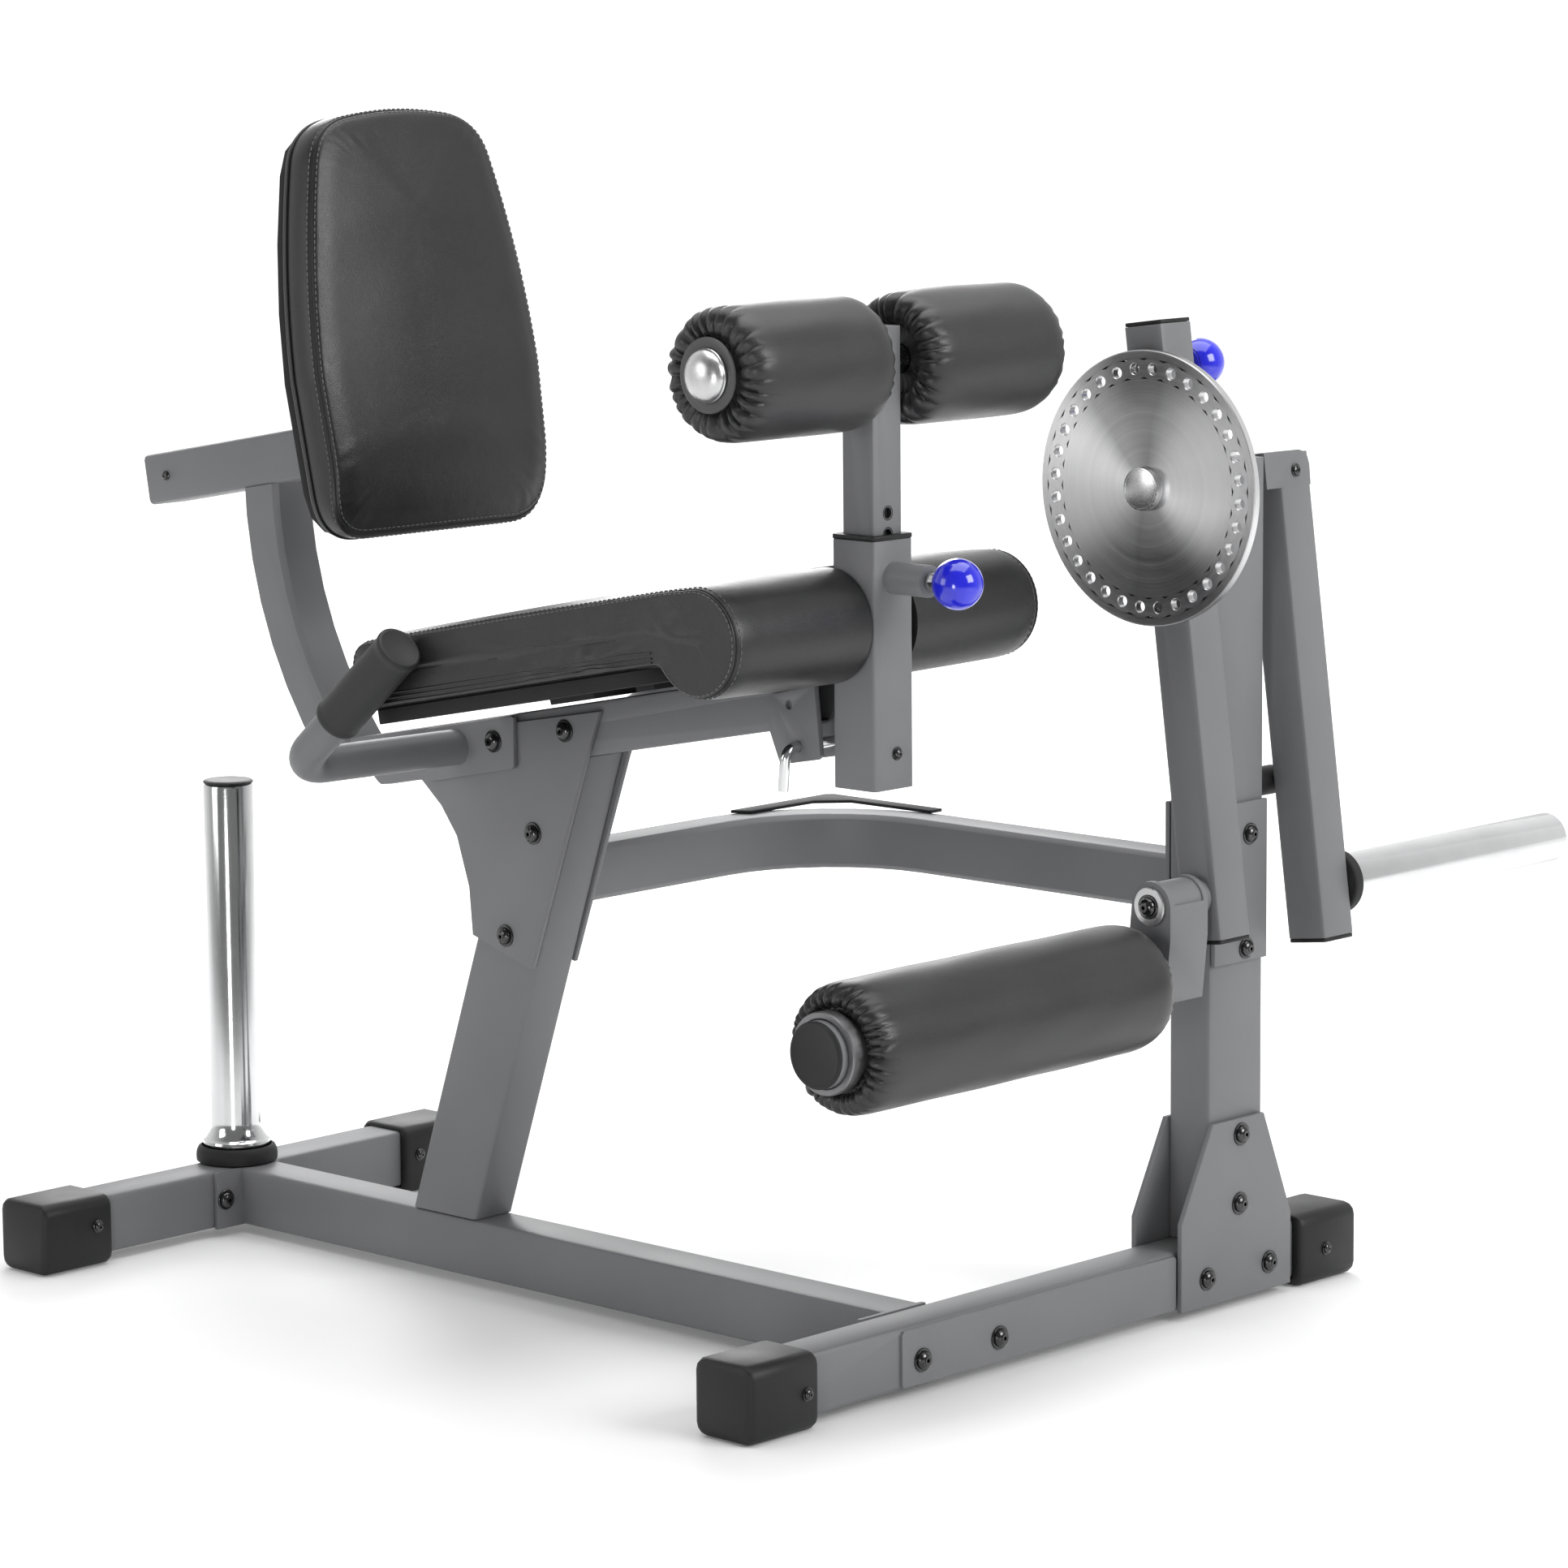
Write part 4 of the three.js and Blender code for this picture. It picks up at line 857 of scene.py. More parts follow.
HW = SEAT_HW
half = [(HW + 0.6, 0, 0.92), (HW + 0.9, 0, 0.75), (HW + 1.0, 0, 0.55), (HW + 0.7, 0, 0.35), (HW + 0.1, 0, 0.18), (HW - 1.4, 0, 0.07),
        (HW - 3.2, 1.6, 0), (HW - 5.0, 2.6, 0), (HW - 6.8, 1.2, 0), (HW - 10, 0.2, 0), (HW - 15, -0.5, 0)]
mid = [(y, -0.9 - 3.2 * (1 - (y / (HW - 15)) ** 2) * 0.6, 0) for y in [HW - 15 - (2 * HW - 30) * i / 58 for i in range(1, 58)]]
S_RINGS = half + mid + [(-y, a, b) for (y, a, b) in reversed(half)]
vs, fs = [], []
for (y, ins, t) in S_RINGS:
    vs += seat_ring(y, ins, t)
for k in range(len(S_RINGS) - 1):
    for i in range(NS):
        j = (i + 1) % NS
        fs.append((k * NS + i, k * NS + j, (k + 1) * NS + j, (k + 1) * NS + i))
fs.append(tuple(range(NS))[::-1])
last = (len(S_RINGS) - 1) * NS
fs.append(tuple(last + i for i in range(NS)))
seat = obj_from("seat_cushion_soft", vs, fs, M_VINYL, None, 180)
pinned = []
cs, ss = math.cos(SEAT_T), math.sin(SEAT_T)
so = D(-111, 0, 684.5)
for v in seat.data.vertices:
    dx, dz, y = (v.co.x - so.x) * 1000, (v.co.z - so.z) * 1000, (v.co.y - so.y) * 1000
    lx, lz = dx * cs + dz * ss, -dx * ss + dz * cs
    if lz < -13.0 and lx < -44 or HW - 8.5 < abs(y) < HW - 1.0 or (abs(y) < 48 and lx > -30):
        pinned.append(v.index)
puff(seat, pinned, 4.0)
# the slot that the thigh post stands in
slot_v = []
for (x0, x1, y0, y1, z0, z1) in ((-16, 90, -NOTCH, NOTCH, -95, 95), (-110, 90, -26.5, 26.5, -95, -33.0)):
    bm = bmesh.new()
    bmesh.ops.create_cube(bm, size=1)
    for v in bm.verts:
        v.co = L_seat(x0 + (v.co.x + 0.5) * (x1 - x0), y0 + (v.co.y + 0.5) * (y1 - y0), z0 + (v.co.z + 0.5) * (z1 - z0))
    bmesh.ops.recalc_face_normals(bm, faces=bm.faces)
    if x0 == -16:
        bmesh.ops.bevel(bm, geom=[e for e in bm.edges], offset=mm(5), segments=3, affect="EDGES", profile=0.5)
    me = bpy.data.meshes.new("cutter")
    bm.to_mesh(me)
    bm.free()
    co = bpy.data.objects.new("cutter", me)
    bpy.context.scene.collection.objects.link(co)
    slot_v.append(co)
subdivide(seat)
for co in slot_v:
    bo = seat.modifiers.new("b", "BOOLEAN")
    bo.operation = "DIFFERENCE"
    bo.solver = "EXACT"
    bo.object = co
dg = bpy.context.evaluated_depsgraph_get()
me = bpy.data.meshes.new_from_object(seat.evaluated_get(dg))
seat.modifiers.clear()
seat.data = me
me.materials.clear()
me.materials.append(M_VINYL)
for p in me.polygons:
    p.material_index = 0
me.shade_smooth()
me.set_sharp_from_angle(angle=math.radians(50))
for co in slot_v:
    bpy.data.objects.remove(co)
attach(seat, "frame")
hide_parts("seat_cushion")
tree = bvh(seat)
for sgn, nm in ((-1, "near"), (1, "far")):
    ring = seat_ring(sgn * (HW - 5.0), 1.5)
    # from the rear bottom corner over the top and round the nose
    path = ring[:]
    top = [p for p, (x, z) in zip(path, S_OUT) if not (z < -13.5 and x < -47)]
    k0 = next(i for i, (x, z) in enumerate(S_OUT) if not (z < -13.5 and x < -47) and i > 4)
    path = [ring[(k0 + i) % NS] for i in range(len(top))]
    # a dark line of painted shade sunk along each side seam
    seam_line(tree, path, 0.9, "seat_seam_" + nm, M_PAINTED_SHADE, "frame", sink=0.4)
    for q, zl in enumerate((-1.5, -6.0, -10.5)):
        ln_pts = [L_seat(-SEAT_L + 6 + (SEAT_L - 62) * i / 60, sgn * (HW + 4), zl) for i in range(61)]
        seam_line(tree, ln_pts, 0.9, "seat_edging_%s_%d" % (nm, q), M_VINYL, "frame", sink=0.3)
    stitches(tree, path, 4.4, "seat_stitches_a_" + nm, M_THREAD, "frame")
    stitches(tree, path, -4.4, "seat_stitches_b_" + nm, M_THREAD, "frame")

# ------------------------------------------------------------------ rollers
def roller(name, M, length, R, bore, body, nodes, seed, hub, pleats=26, face_in=14.0, shift=(0.0, 0.0), amp_mm=5.4):
    """Foam roller in a vinyl sleeve whose ends are gathered into pleats around the hub."""
    rnd = random.Random(seed)
    amp = [rnd.uniform(0.65, 1.3) for _ in range(pleats)]
    off = [rnd.uniform(-0.22, 0.22) for _ in range(pleats)]
    lng = [rnd.uniform(0.7, 1.6) for _ in range(pleats)]
    n = pleats * 10
    w = R - 9 - hub
    endp = [(bore + 0.4, face_in), (hub - 3, face_in - 4), (hub, 7.5), (hub + 0.08 * w, 4.0), (hub + 0.2 * w, 1.8), (hub + 0.38 * w, 0.3), (hub + 0.58 * w, -0.5), (hub + 0.8 * w, -0.2),
            (R - 9, 1.6), (R - 7, 3.0), (R - 5, 5.2), (R - 3.2, 8.2), (R - 1.8, 12.0), (R - 0.8, 17.0), (R - 0.2, 23.0), (R, 30)]
    prof = [(r, h + shift[0]) for r, h in endp]
    a0, a1 = 30 + shift[0], length - 30 - shift[1]
    m = int((a1 - a0) / 12)
    prof += [(R + 0.5 * math.sin(PI * i / m), a0 + (a1 - a0) * i / m) for i in range(1, m)]
    prof += [(r, length - h - shift[1]) for r, h in reversed(endp)]

    def shape(r, h, a):
        first = h < length / 2
        s = 1 if first else -1
        e = (h - shift[0]) if first else (length - h - shift[1])
        aw = a + 0.05 * math.sin(3 * a + seed) + 0.03 * math.sin(8 * a + 2 * seed) + 0.05 * math.sin(seed) * max(0.0, (r - hub) / (R - hub))
        k = (aw / (2 * PI) * pleats) % pleats
        i = int(k) % pleats
        u = k - int(k)
        fold = abs(math.sin(PI * min(max(u + off[i] * math.sin(PI * u), 0), 1))) ** 0.52      # ridge between two creases
        wt = 0.0
        if r > hub - 2 and e < 30:
            if r <= R - 9:
                wt = 0.45 + 0.55 * math.sin(PI / 2 * min(1.0, (r - hub + 2) / (w * 0.7)))
            else:
                wt = (0.8 if first else 0.45) * math.exp(-(max(e - 2.0, 0.0) / ((7.5 if first else 4.0) * lng[i])) ** 2)
                wt += (0.2 if first else 0.55) * math.exp(-(max(e - 1.6, 0.0) / 2.2) ** 2)
        d = amp[i] * (fold - 0.72) * amp_mm * wt
        lobe = 0.3 * math.sin(3 * a + seed) + 0.2 * math.sin(7 * a + h * 0.05)
        if r > R - 9:
            t = min(1.0, max(0.0, (e - 0.5) / 12.0))
            return (r + d * (0.25 + 0.75 * t) + lobe, h - s * d * (1 - t))
        return (r, h - s * d)
    o = lathe(name, prof, n, M, M_VROLL, body, 75, radius=shape)
    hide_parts(*nodes)
    return o


for nm, sgn, bd in (("near", -1, "thigh_roller_n"), ("far", 1, "thigh_roller_f")):
    y0 = -ROLL_END if sgn < 0 else ROLL_END - ROLL_L
    M = axis_matrix(D(THIGH_X, y0, ROLL_Z), (0, 1, 0))
    roller("thigh_roller_%s_soft" % nm, M, ROLL_L, ROLL_R, 12.8, bd, ["thigh_roller_" + nm], 3 + sgn, hub=31.5,
           shift=(0.4, 2.6) if sgn < 0 else (2.6, 0.4))
    # plated washer and domed cap
    yend = sgn * (ROLL_END + 0.3)
    Mc = axis_matrix(D(THIGH_X, yend, ROLL_Z), (0, sgn, 0))
    prof = [(0.0, -10.0), (10.0, -10.0), (10.2, 3.2), (22.6, 3.5), (23.4, 4.0), (23.5, 5.0), (22.9, 5.7)]
    prof += [(22.8 * math.cos(math.radians(t)) ** 0.86, 5.8 + 12.4 * math.sin(math.radians(t))) for t in (4, 12, 20, 28, 36, 44, 52, 60, 68, 76, 83)] + [(0.0, 18.2)]
    c = lathe("thigh_cap_%s_dome" % nm, prof, 64, Mc, M_SATIN, "thigh_holder", 40)
    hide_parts("thigh_pipe_cap_" + nm)
    prof = [(10.4, 1.3), (31.6, 1.3), (32.9, 1.9), (33.2, 3.0), (32.6, 4.0), (30.8, 4.5), (25.6, 4.3), (24.4, 3.6), (10.4, 3.0), (10.4, 1.3)]
    lathe("thigh_cap_%s_ring" % nm, prof, 64, Mc, M_RINGG, "thigh_holder", 30)

M = axis_matrix(D(ANKLE[0], ANKLE_Y0, ANKLE[1]), (0, 1, 0))
roller("ankle_roller_soft", M, ANKLE_Y1 - ANKLE_Y0, ANKLE_R, 30.1, "ankle_roll", ["ankle_roller"], 11, hub=38, pleats=34, face_in=10, shift=(0.6, -4.5), amp_mm=4.8)
Mi = axis_matrix(D(ANKLE[0], ANKLE_Y0, ANKLE[1]), (0, -1, 0))
c = lathe("ankle_collar_ring", [(30.3, 0.4), (36.0, 0.4), (37.0, 1.3), (37.0, 12.6), (36.0, 13.9), (31.6, 14.0), (30.3, 13.2), (30.3, 0.4)], 64, Mi, M_ZINC, "ankle_carrier", 30)
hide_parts("ankle_collar")
Mf = axis_matrix(D(ANKLE[0], ANKLE_Y1 + 5.6, ANKLE[1]), (0, -1, 0))
plen = ANKLE_Y1 + 5.6 - (ANKLE_Y0 - 20)
c = lathe("ankle_pipe_tube", [(12, 0), (29.0, 0), (30.0, 1.0), (30.0, plen - 0.6), (29.4, plen), (27, plen), (27, 20), (12, 19), (12, 0)], 56, Mf, M_PAINT, "ankle_carrier", 30)
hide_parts("ankle_pipe")
Mc = axis_matrix(D(ANKLE[0], ANKLE_Y0 - 20.3, ANKLE[1]), (0, -1, 0))
c = lathe("ankle_pipe_end_cap", [(26.4, -11), (26.4, 0), (29.6, 0), (30.0, 0.5), (30.0, 2.6), (29.2, 3.6), (27.2, 4.0), (25.8, 3.4), (24.8, 3.0), (0, 3.0)], 56, Mc, M_PLAST, "ankle_carrier", 30)
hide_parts("ankle_pipe_cap")

# ------------------------------------------------------------------ hand grips
for sgn, nm in ((-1, "near"), (1, "far")):
    A, Bp, C = D(-593, sgn * 31.0, 530), D(-612, sgn * 224.5, 529.5), D(-466, sgn * 224.5, 652)
    pts = bent([A, Bp, C], [mm(31)], 14)
    # denser straight runs, so that the tube is even
    fine = []
    for a, b in zip(pts, pts[1:]):
        n = max(1, int((b - a).length / 0.02))
        fine += [a.lerp(b, i / n) for i in range(n)]
    fine.append(pts[-1])
    t = sweep_tube("handle_tube_%s_bend" % nm, fine, 17.2, 36, M_PAINT, "frame", smooth=30)
    pl = [(-636, 492), (-514, 517), (-514, 567.5), (-636, 543.5)]
    y0, y1 = (-36.5, -31.3) if sgn < 0 else (30.6, 36.5)
    bm = bmesh.new()
    f0 = bm.faces.new([bm.verts.new(D(x, y0, z)) for x, z in pl])
    ex = bmesh.ops.extrude_face_region(bm, geom=[f0])
    for v in [g for g in ex["geom"] if isinstance(g, bmesh.types.BMVert)]:
        v.co.y += mm(y1 - y0)
    bmesh.ops.recalc_face_normals(bm, faces=bm.faces)
    bmesh.ops.bevel(bm, geom=[e for e in bm.edges if abs((e.verts[0].co - e.verts[1].co).normalized().y) > 0.9], offset=mm(4), segments=4, affect="EDGES", profile=0.5)
    bmesh.ops.bevel(bm, geom=[e for e in bm.edges if e.is_manifold and e.calc_face_angle(0) > 0.9], offset=mm(0.8), segments=2, affect="EDGES", profile=0.5)
    me = bpy.data.meshes.new("handle_plate")
    bm.to_mesh(me)
    bm.free()
    finish_obj("handle_plate_" + nm, me, M_PAINT, "frame", 30)
    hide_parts("handle_tube_" + nm)
    d = (C - Bp).normalized()
    Mg = axis_matrix(C - d * mm(112 - 0.3), d)
    L = 112 + 4
    prof = [(17.5, 0.0), (20.6, 0.0), (21.9, 0.8), (22.3, 2.2), (22.3, 4.4), (21.9, 5.8), (21.7, 9.0)]
    prof += [(21.7 + 0.25 * math.sin(PI * i / 14), 9.0 + (L - 21.0) * i / 14) for i in range(1, 14)]
    prof += [(21.8, L - 12), (21.8, L - 8), (22.4, L - 6.4), (22.9, L - 3.6), (22.6, L - 1.4), (21.4, L - 0.2), (19.6, L + 0.1), (18.6, L - 0.3), (17.6, L - 1.1), (0.0, L - 1.0)]
    g = lathe("grip_%s_sleeve" % nm, prof, 48, Mg, M_GRIP, "frame", 40)
    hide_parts("grip_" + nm)

# ------------------------------------------------------------------ storage horn
M = axis_matrix(D(-970, 0, 66.3), (0, 0, 1))
HR, HT = 25.5, 454 - 66.3
prof = [(0, 0), (35.0, 0), (36.0, 0.8), (36.0, 3.0), (35.2, 4.4), (34.0, 7.0), (33.0, 9.0), (33.0, 17.0), (34.0, 18.0), (34.6, 20.0), (34.0, 22.2), (32.2, 23.4), (30.8, 25.0), (29.0, 28.5), (27.4, 32.0), (26.2, 36.0), (HR, 41.0), (HR, HT - 3.0), (HR - 0.5, HT - 1.4), (HR - 2.0, HT), (HR - 2.5, HT), (HR - 2.5, HT - 6), (0, HT - 6)]
c = lathe("horn_tube", prof, 64, M, M_CHROME, "frame", 26)
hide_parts("storage_horn")
prof = [(36.4, 0.3), (39.6, 0.3), (40.9, 1.4), (41.3, 6.0), (40.7, 11.0), (38.8, 15.0), (35.6, 16.8), (36.2, 13), (36.4, 0.3)]
c = lathe("horn_ring", [(r, h) for r, h in prof], 64, M, M_RUBBER, "frame", 40)
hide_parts("horn_rubber_ring")
prof = [(22.4, HT - 9), (22.6, HT + 0.4), (24.8, HT + 0.5), (25.3, HT + 1.0), (25.1, HT + 2.0), (23.6, HT + 3.0), (20.0, HT + 3.6), (0, HT + 3.9)]
c = lathe("horn_cap", prof, 48, M, M_PLAST, "frame", 30)
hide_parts("horn_top_cap")

# ------------------------------------------------------------------ stamped rims of the height holes, each closed about 5 mm down by a dark cup of painted shade
HB = Batch()
for i in range(-3, 4):
    Mh = axis_matrix(D(THIGH_X + 19.02, 0, KNOB[1] + i * 19.1), (1, 0, 0))
    HB.add(*lathe_data([(6.7, -0.02), (6.4, 0.12), (5.7, 0.06), (5.1, -0.8), (5.05, -5.0), (0, -5.2)], 28, Mh))
HB.build("height_hole_rims_painted_shade", M_PAINTED_SHADE, "thigh_holder", 40)

# ------------------------------------------------------------------ weight sleeve
def arm_axis(y, lx, lz, dirn):
    o = L_arm(lx, 0, lz)
    o.y = D(0, y, 0).y
    return axis_matrix(o, dirn)


M = arm_axis(WY1, 0, -393, (0, 1, 0))
prof = [(9, 0.3), (12, 0.3), (12, 12.4), (16, 12.7), (24.0, 12.8), (25, 13.8), (25, 346.6), (24.4, 348.4), (22.8, 349), (21.8, 349), (21.4, 347.6), (21.4, 340), (9, 338), (9, 0.3)]
c = lathe("sleeve_tube", prof, 64, M, M_CHROME, "rotor", 26)
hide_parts("weight_sleeve")
prof = [(12.4, 0.3), (29.5, 0.3), (31, 1.6), (31.3, 6.0), (31, 10.6), (29.4, 12.2), (12.4, 12.3), (12.4, 0.3)]
c = lathe("sleeve_rubber_collar", prof, 56, M, M_RUBBER, "rotor", 40)
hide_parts("sleeve_collar")

# ------------------------------------------------------------------ selector disc
def build_disc(part):
    """Turned steel disc with a ring of 32 drilled, countersunk holes, about its own centre."""
    nh, seg = 32, 14
    T2, y0, y1 = 0.0, 0.0, mm(DISC_T)
    bm = bmesh.new()
    def pol(r, a, y):
        return Vector((mm(r) * math.cos(a), y, mm(r) * math.sin(a)))
    base = math.pi / 2 + ARM_T
    def face_sector(y, flip):
        ri, ro = HOLE_RING - 9.5, HOLE_RING + 9.5
        for h in range(nh):
            ac = base + h * 2 * PI / nh
            da = PI / nh
            hv = []
            for i in range(seg):
                t = 2 * PI * i / seg
                hv.append((HOLE_RING * math.cos(ac) + 5.9 * math.cos(t + ac), HOLE_RING * math.sin(ac) + 5.9 * math.sin(t + ac)))
            # outer boundary of the sector, starting along the radial direction
            ring = []
            for i in range(seg):
                t = 2 * PI * i / seg
                # square around the hole: radial +-9.5, angular +-da
                cx, cy = math.cos(t), math.sin(t)
                k = 1 / max(abs(cx), abs(cy))
                r = HOLE_RING + 9.5 * cx * k
                a = ac + da * cy * k
                ring.append((r * math.cos(a), r * math.sin(a)))
            V0 = [bm.verts.new((mm(x), y, mm(z))) for x, z in hv]
            V1 = [bm.verts.new((mm(x), y, mm(z))) for x, z in ring]
            for i in range(seg):
                j = (i + 1) % seg
                bm.faces.new([V0[i], V0[j], V1[j], V1[i]])
    def holes():
        for h in range(nh):
            ac = base + h * 2 * PI / nh
            rings = []
            for (r, y) in ((5.9, y0), (5.2, y0 + mm(0.7)), (5.2, y1 - mm(0.7)), (5.9, y1)):
                rings.append([bm.verts.new((mm(HOLE_RING * math.cos(ac) + r * math.cos(2 * PI * i / seg + ac)), y, mm(HOLE_RING * math.sin(ac) + r * math.sin(2 * PI * i / seg + ac)))) for i in range(seg)])
            for k in range(3):
                for i in range(seg):
                    j = (i + 1) % seg
                    bm.faces.new([rings[k][i], rings[k][j], rings[k + 1][j], rings[k + 1][i]])
    if part == "walls":
        holes()
        bmesh.ops.recalc_face_normals(bm, faces=bm.faces)
        me = bpy.data.meshes.new("selector_disc_hole_walls")
        bm.to_mesh(me)
        bm.free()
        me.flip_normals()
        return me
    face_sector(y0, False)
    face_sector(y1, True)
    def band(ra, ya, rb, yb, n=128, ph=0):
        A = [bm.verts.new(pol(ra, base + 2 * PI * (i + ph) / n, ya)) for i in range(n)]
        Bq = [bm.verts.new(pol(rb, base + 2 * PI * (i + ph) / n, yb)) for i in range(n)]
        for i in range(n):
            j = (i + 1) % n
            bm.faces.new([A[i], A[j], Bq[j], Bq[i]])
    for y in (y0, y1):
        s = 1 if y == y0 else -1
        band(HOLE_RING + 9.45, y, DISC_R - 1.0, y)
        band(DISC_R - 1.0, y, DISC_R, y + s * mm(1.0))
        band(HOLE_RING - 9.45, y, 60, y)
        band(60, y, 13.0, y)
    band(DISC_R, y0 + mm(1.0), DISC_R, y1 - mm(1.0))
    band(13.0, y0, 13.0, y1)
    bmesh.ops.remove_doubles(bm, verts=bm.verts, dist=2e-5)
    bmesh.ops.recalc_face_normals(bm, faces=bm.faces)
    me = bpy.data.meshes.new("selector_disc_turned")
    bm.to_mesh(me)
    bm.free()
    return me


o = finish_obj("selector_disc_hole_walls", build_disc("walls"), M_SATIN, None, 30, loc=D(SHAFT[0], DISC_Y0, SHAFT[1]))
bpy.context.view_layer.update()
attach(o, "rotor")
o = finish_obj("selector_disc_turned", build_disc("plate"), M_DISC, None, 25, loc=D(SHAFT[0], DISC_Y0, SHAFT[1]))
bpy.context.view_layer.update()
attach(o, "rotor")
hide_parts("selector_disc")
# shaft end: bright chamfered rim round a dark face
M = axis_matrix(D(SHAFT[0], DISC_Y0 - 0.3, SHAFT[1]), (0, -1, 0))
c = lathe("shaft_end_rim", [(13.2, 0.0), (18.8, 0.0), (20.2, 1.0), (20.2, 6.2), (19.4, 8.2), (17.9, 8.8), (17.0, 8.2), (16.8, 7.0), (0, 6.9)], 56, M, M_SATIN, "rotor", 24)
c = lathe("shaft_end_face", [(16.6, 7.0), (16.4, 7.5), (0, 7.5)], 48, M, M_SHAFT, "rotor", 24)

# ------------------------------------------------------------------ ball knobs
def knob(name, M, body, nodes, plunger):
    R = 23
    prof = [(0, -18.4), (12.2, -18.4), (13.4, -18.0), (13.9, -17.2)]
    a0 = math.degrees(math.atan2(-17.2, 13.9 + 1.3))
    prof += [(R * math.cos(math.radians(a)), R * math.sin(math.radians(a))) for a in [a0 + (90 - a0) * i / 22 for i in range(23)]]
    o = lathe(name, prof, 56, M, M_KNOB, body, 40)
    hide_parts(*nodes)
    lathe(name + "_stem", plunger, 32, M, M_CHROME, body, 26)
    return o


knob("thigh_knob_ball", axis_matrix(D(KNOB[0], 0, KNOB[1]), (1, 0, 0)), "thigh_pin", ["thigh_pull_pin"],
     [(0, -82.0), (3.6, -82.0), (5.0, -79.5), (5.0, -31.0), (8.2, -30.4), (9.0, -29.6), (9.0, -19.4), (8.4, -18.5), (0, -18.45)])
ok = L_arm(0, 0, HOLE_RING)
ok.y = D(0, SWING_Y1 + 33.2, 0).y
knob("selector_knob_ball", axis_matrix(ok, (0, 1, 0)), "selector_pin", ["selector_pull_pin"],
     [(0, -85.6), (3.6, -85.6), (5.0, -83.0), (5.0, -21.0), (8.2, -20.8), (8.6, -20.0), (8.6, -19.0), (8.4, -18.5), (0, -18.45)])

# ------------------------------------------------------------------ swivel pin with its nut
M = axis_matrix(D(23.2, 256, 408), (0, -1, 0))
v1, f1 = lathe_data([(8.4, 0.4), (17.0, 0.4), (17.8, 0.9), (17.8, 2.8), (17.0, 3.6), (11.5, 4.0), (8.0, 4.0)], 48, M)
BT = Batch()
BT.add(v1, f1)
v1, f1 = lathe_data([(8.0, 4.0), (8.0, -66.0), (0, -66.2)], 28, M)
BT.add(v1, f1)
o = BT.build("swivel_washer", M_SATIN, "swing", 28)
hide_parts("swivel_pin")
BT = Batch()
BT.add(*bolt_data(D(23.2, 256 - 3.6, 408), (0, -1, 0), 9.0, 5.6))
BT.build("swivel_bolt_head", M_BOLT, "swing", 28)
# ------------------------------------------------------------------ seat lock pin
pts = bent([D(-150, 40, 572), D(-150, -46, 572), D(-154, -46, 533)], [mm(11)], 10)
fine = []
for a, b in zip(pts, pts[1:]):
    n = max(1, int((b - a).length / 0.006))
    fine += [a.lerp(b, i / n) for i in range(n)]
fine.append(pts[-1])
c = sweep_tube("lock_pin_rod", fine, 5.0, 24, M_CHROME, "lock_pin", smooth=40)
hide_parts("seat_lock_pin")

# ------------------------------------------------------------------ bolts
def bolts(name, body, items):
    B = Batch()
    for (p, nrm, r, h) in items:
        B.add(*bolt_data(p, nrm, r, h))
    return B.build(name, M_BOLT, body, 28)


XP, YN = (1, 0, 0), (0, -1, 0)
bolts("bolts_base", "frame", [
    (D(0.05, -33.5, 33.2), XP, 8.6, 5.2), (D(0.05, 70.3, 33.6), XP, 8.6, 5.2),
    (D(6.05, 410, 167), XP, 8.6, 5.2), (D(6.05, 408, 100), XP, 8.6, 5.2), (D(6.05, 360, 35), XP, 8.6, 5.2), (D(6.05, 453, 35), XP, 8.6, 5.2),
    (D(-935.4, -46, 37.5), XP, 8.0, 4.8), (D(5.05, 422.7, 453.2), XP, 8.0, 4.8), (D(5.05, 417.4, 344.5), XP, 8.0, 4.8)])
bolts("bolts_seat", "frame", [
    (D(-494.5, -31.05, 456.4), YN, 8.4, 5.2), (D(-534.7, -31.05, 353.6), YN, 8.4, 5.2), (D(-449.5, -31.05, 558.3), YN, 8.4, 5.2),
    (D(-541, -36.55, 540.5), YN, 8.4, 5.2)])
bolts("bolts_seat_far", "frame", [
    (D(-494.5, 30.35, 456.4), (0, 1, 0), 8.4, 5.2), (D(-534.7, 30.35, 353.6), (0, 1, 0), 8.4, 5.2), (D(-449.5, 30.35, 558.3), (0, 1, 0), 8.4, 5.2),
    (D(-541, 36.55, 540.5), (0, 1, 0), 8.4, 5.2)])
bolts("screw_thigh_post", "frame", [(D(-60.25, 2.8, 570.6), XP, 4.6, 2.6)])
bolts("screw_backrest_tube", "frame", [(D(-1024, -25.05, 762.5), YN, 3.8, 1.6)])
bolts("screws_feet", "frame", [(D(8.9, -192.5, 35), XP, 5.0, 2.4), (D(8.9, 538.1, 33), XP, 5.0, 2.4), (D(-930.4, -215.3, 41), XP, 5.0, 2.4), (D(-930.4, 215.3, 41), XP, 5.0, 2.4)])
sp = L_arm(6, 0, 4)
sp.y = D(0, 499, 0).y
bolts("screw_weight_arm", "rotor", [(L_arm(22.6, WY1 - 22, 1.0), (math.cos(ARM_T), 0, math.sin(ARM_T)), 5.0, 1.8)])

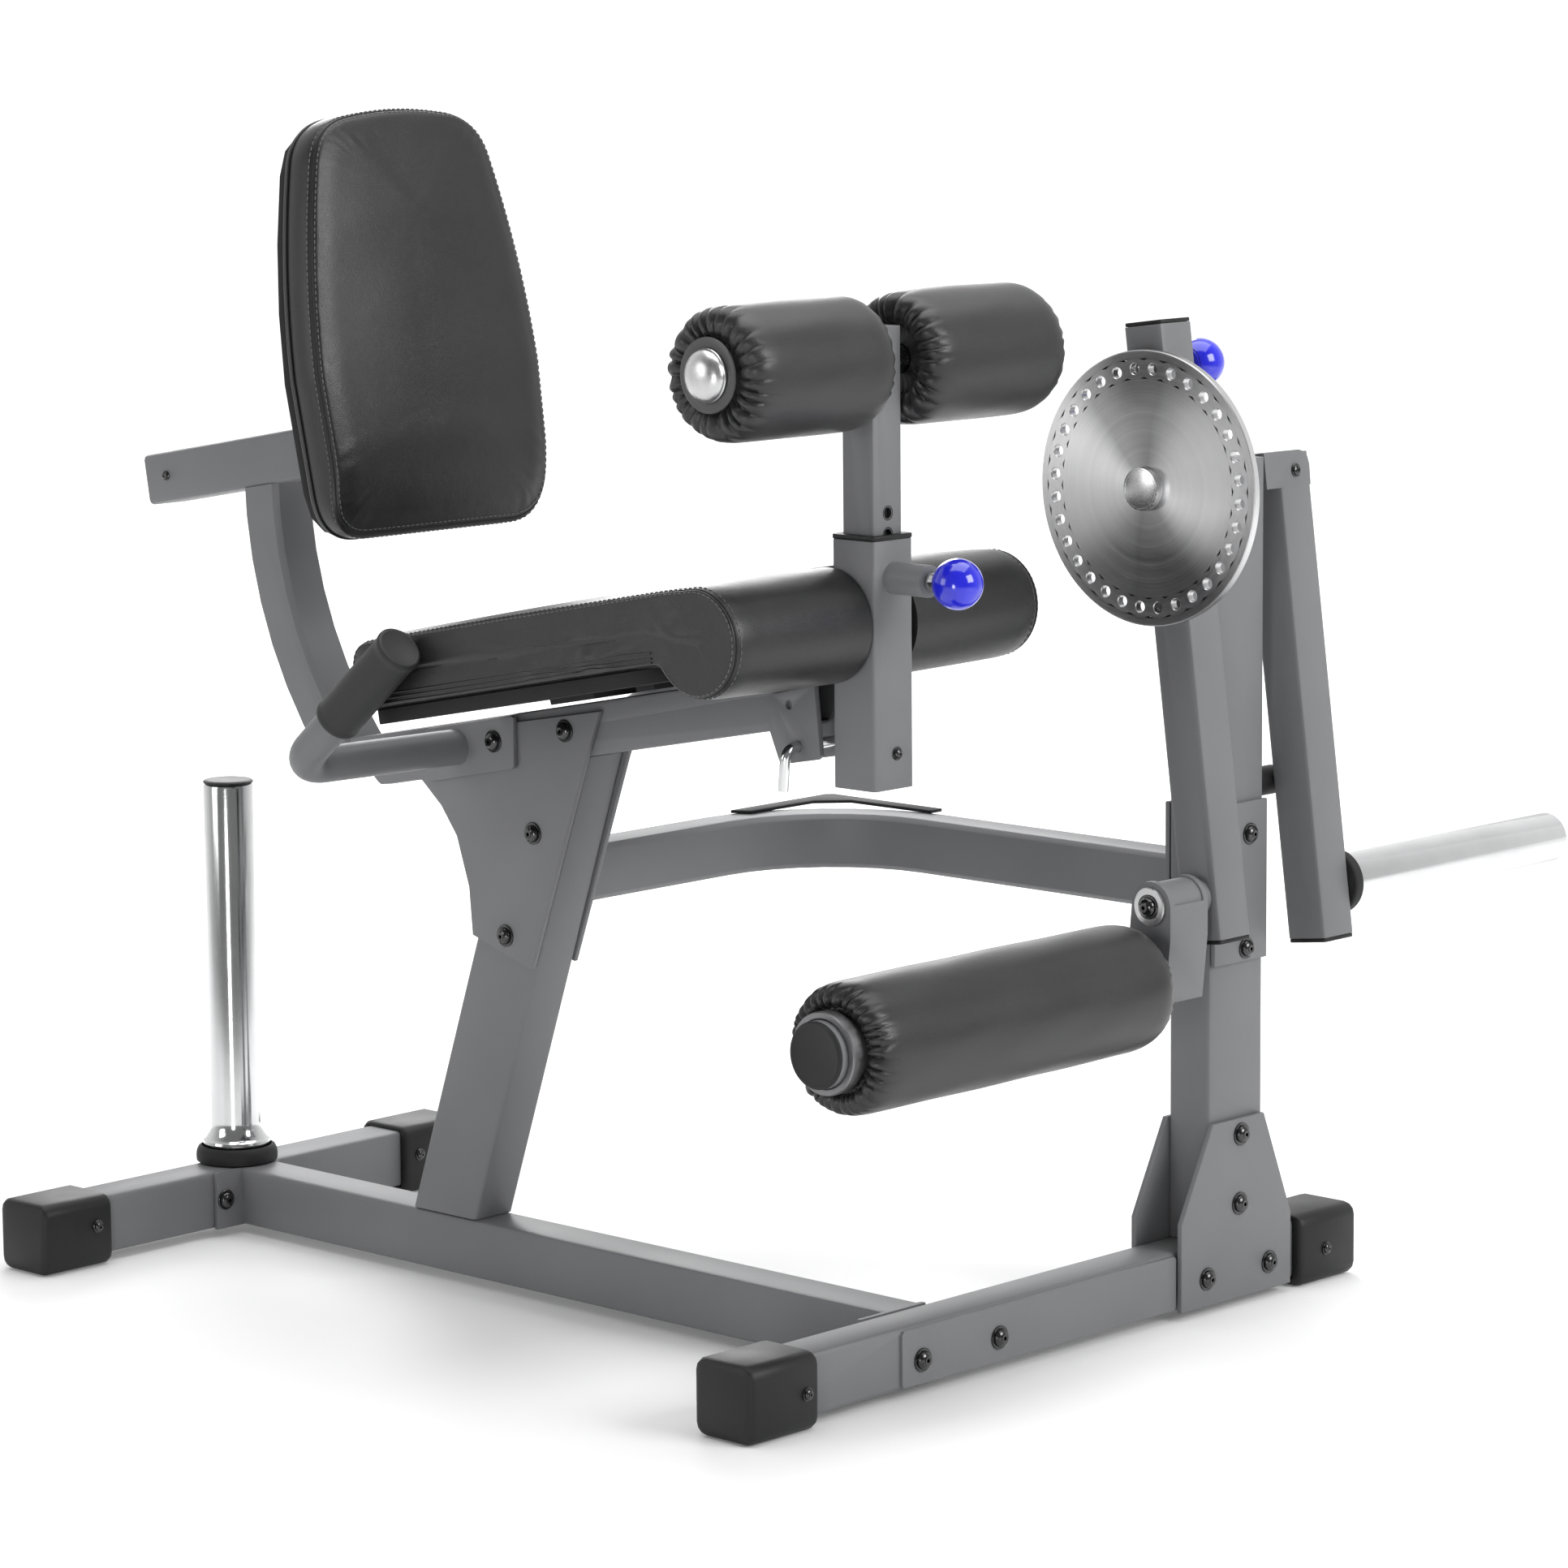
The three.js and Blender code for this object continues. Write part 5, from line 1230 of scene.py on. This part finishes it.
# ------------------------------------------------------------------ floor, backdrop and light
def floor():
    bm = bmesh.new()
    N = 24
    prof = [(-6.0, 0.0), (3.5, 0.0)] + [(3.5 + 3.5 * math.sin(PI / 2 * i / N), 3.5 - 3.5 * math.cos(PI / 2 * i / N)) for i in range(1, N + 1)] + [(7.0, 8.0)]
    # the sweep runs away from the camera
    f = Vector((look.x, look.y, 0)).normalized()
    s = Vector((-f.y, f.x, 0))
    rows = []
    for d, z in prof:
        rows.append([bm.verts.new(f * d + s * w + Vector((0, 0, z - 0.0005))) for w in (-9, -3, 3, 9)])
    for a, b in zip(rows, rows[1:]):
        for i in range(3):
            bm.faces.new([a[i], a[i + 1], b[i + 1], b[i]])
    me = bpy.data.meshes.new("floor")
    bm.to_mesh(me)
    bm.free()
    mt, nt, b = new_mat("floor_white", (0.86, 0.86, 0.86), 0.65, 0, spec=0.15)
    nt.links.new(two_tone(nt, noise(nt, coords(nt), 1.5, 2), (0.855, 0.855, 0.855), (0.865, 0.865, 0.865)), b.inputs["Base Color"])
    tcf = node(nt, "ShaderNodeTexCoord")
    dt = node(nt, "ShaderNodeVectorMath", operation="DOT_PRODUCT")
    nt.links.new(tcf.outputs["Object"], dt.inputs[0])
    dt.inputs[1].default_value = tuple(f)
    b.inputs["Emission Color"].default_value = (1, 1, 1, 1)
    nt.links.new(remap(nt, dt.outputs["Value"], -0.4, 2.4, 0.05, 0.5), b.inputs["Emission Strength"])
    me.materials.append(mt)
    me.shade_smooth()
    o = bpy.data.objects.new("floor", me)
    bpy.context.scene.collection.objects.link(o)
    return o


floor()


def area(name, loc, target, size, power, size_y=None):
    l = bpy.data.lights.new(name, "AREA")
    l.shape = "RECTANGLE"
    l.size = size
    l.size_y = size_y or size
    l.energy = power
    o = bpy.data.objects.new(name, l)
    bpy.context.scene.collection.objects.link(o)
    o.location = loc
    o.rotation_euler = (Vector(target) - Vector(loc)).to_track_quat("-Z", "Y").to_euler()
    return o


C0 = (0, 0, 0.6)
area("top", (0.3, 0.2, 4.0), (0, 0, 0), 3.6, 105)
area("key_right", (4.0, 0.6, 2.4), C0, 2.0, 105)
area("fill_left", (-1.6, -4.2, 1.6), C0, 1.8, 29)
area("front_low", (2.1, -3.9, 0.35), (0.5, 0.1, 0.35), 0.7, 30, 1.1)
area("rim_back", (-3.4, 2.6, 2.4), C0, 2.0, 70)
w = bpy.data.worlds.new("studio")
bpy.context.scene.world = w
w.use_nodes = True
wn = w.node_tree
bg = wn.nodes["Background"]
tcw = node(wn, "ShaderNodeTexCoord")
dot = node(wn, "ShaderNodeVectorMath", operation="DOT_PRODUCT")
wn.links.new(tcw.outputs["Generated"], dot.inputs[0])
dot.inputs[1].default_value = tuple(look)
mr = remap(wn, dot.outputs["Value"], -0.55, 0.6, 0.20, 0.95)
wn.links.new(two_tone(wn, mr, (0, 0, 0), (1, 1, 1)), bg.inputs["Color"])
bg.inputs["Strength"].default_value = 1.0
bpy.context.scene.view_settings.view_transform = "Standard"
bpy.context.scene.view_settings.look = "None"
bpy.context.scene.view_settings.exposure = 0.0
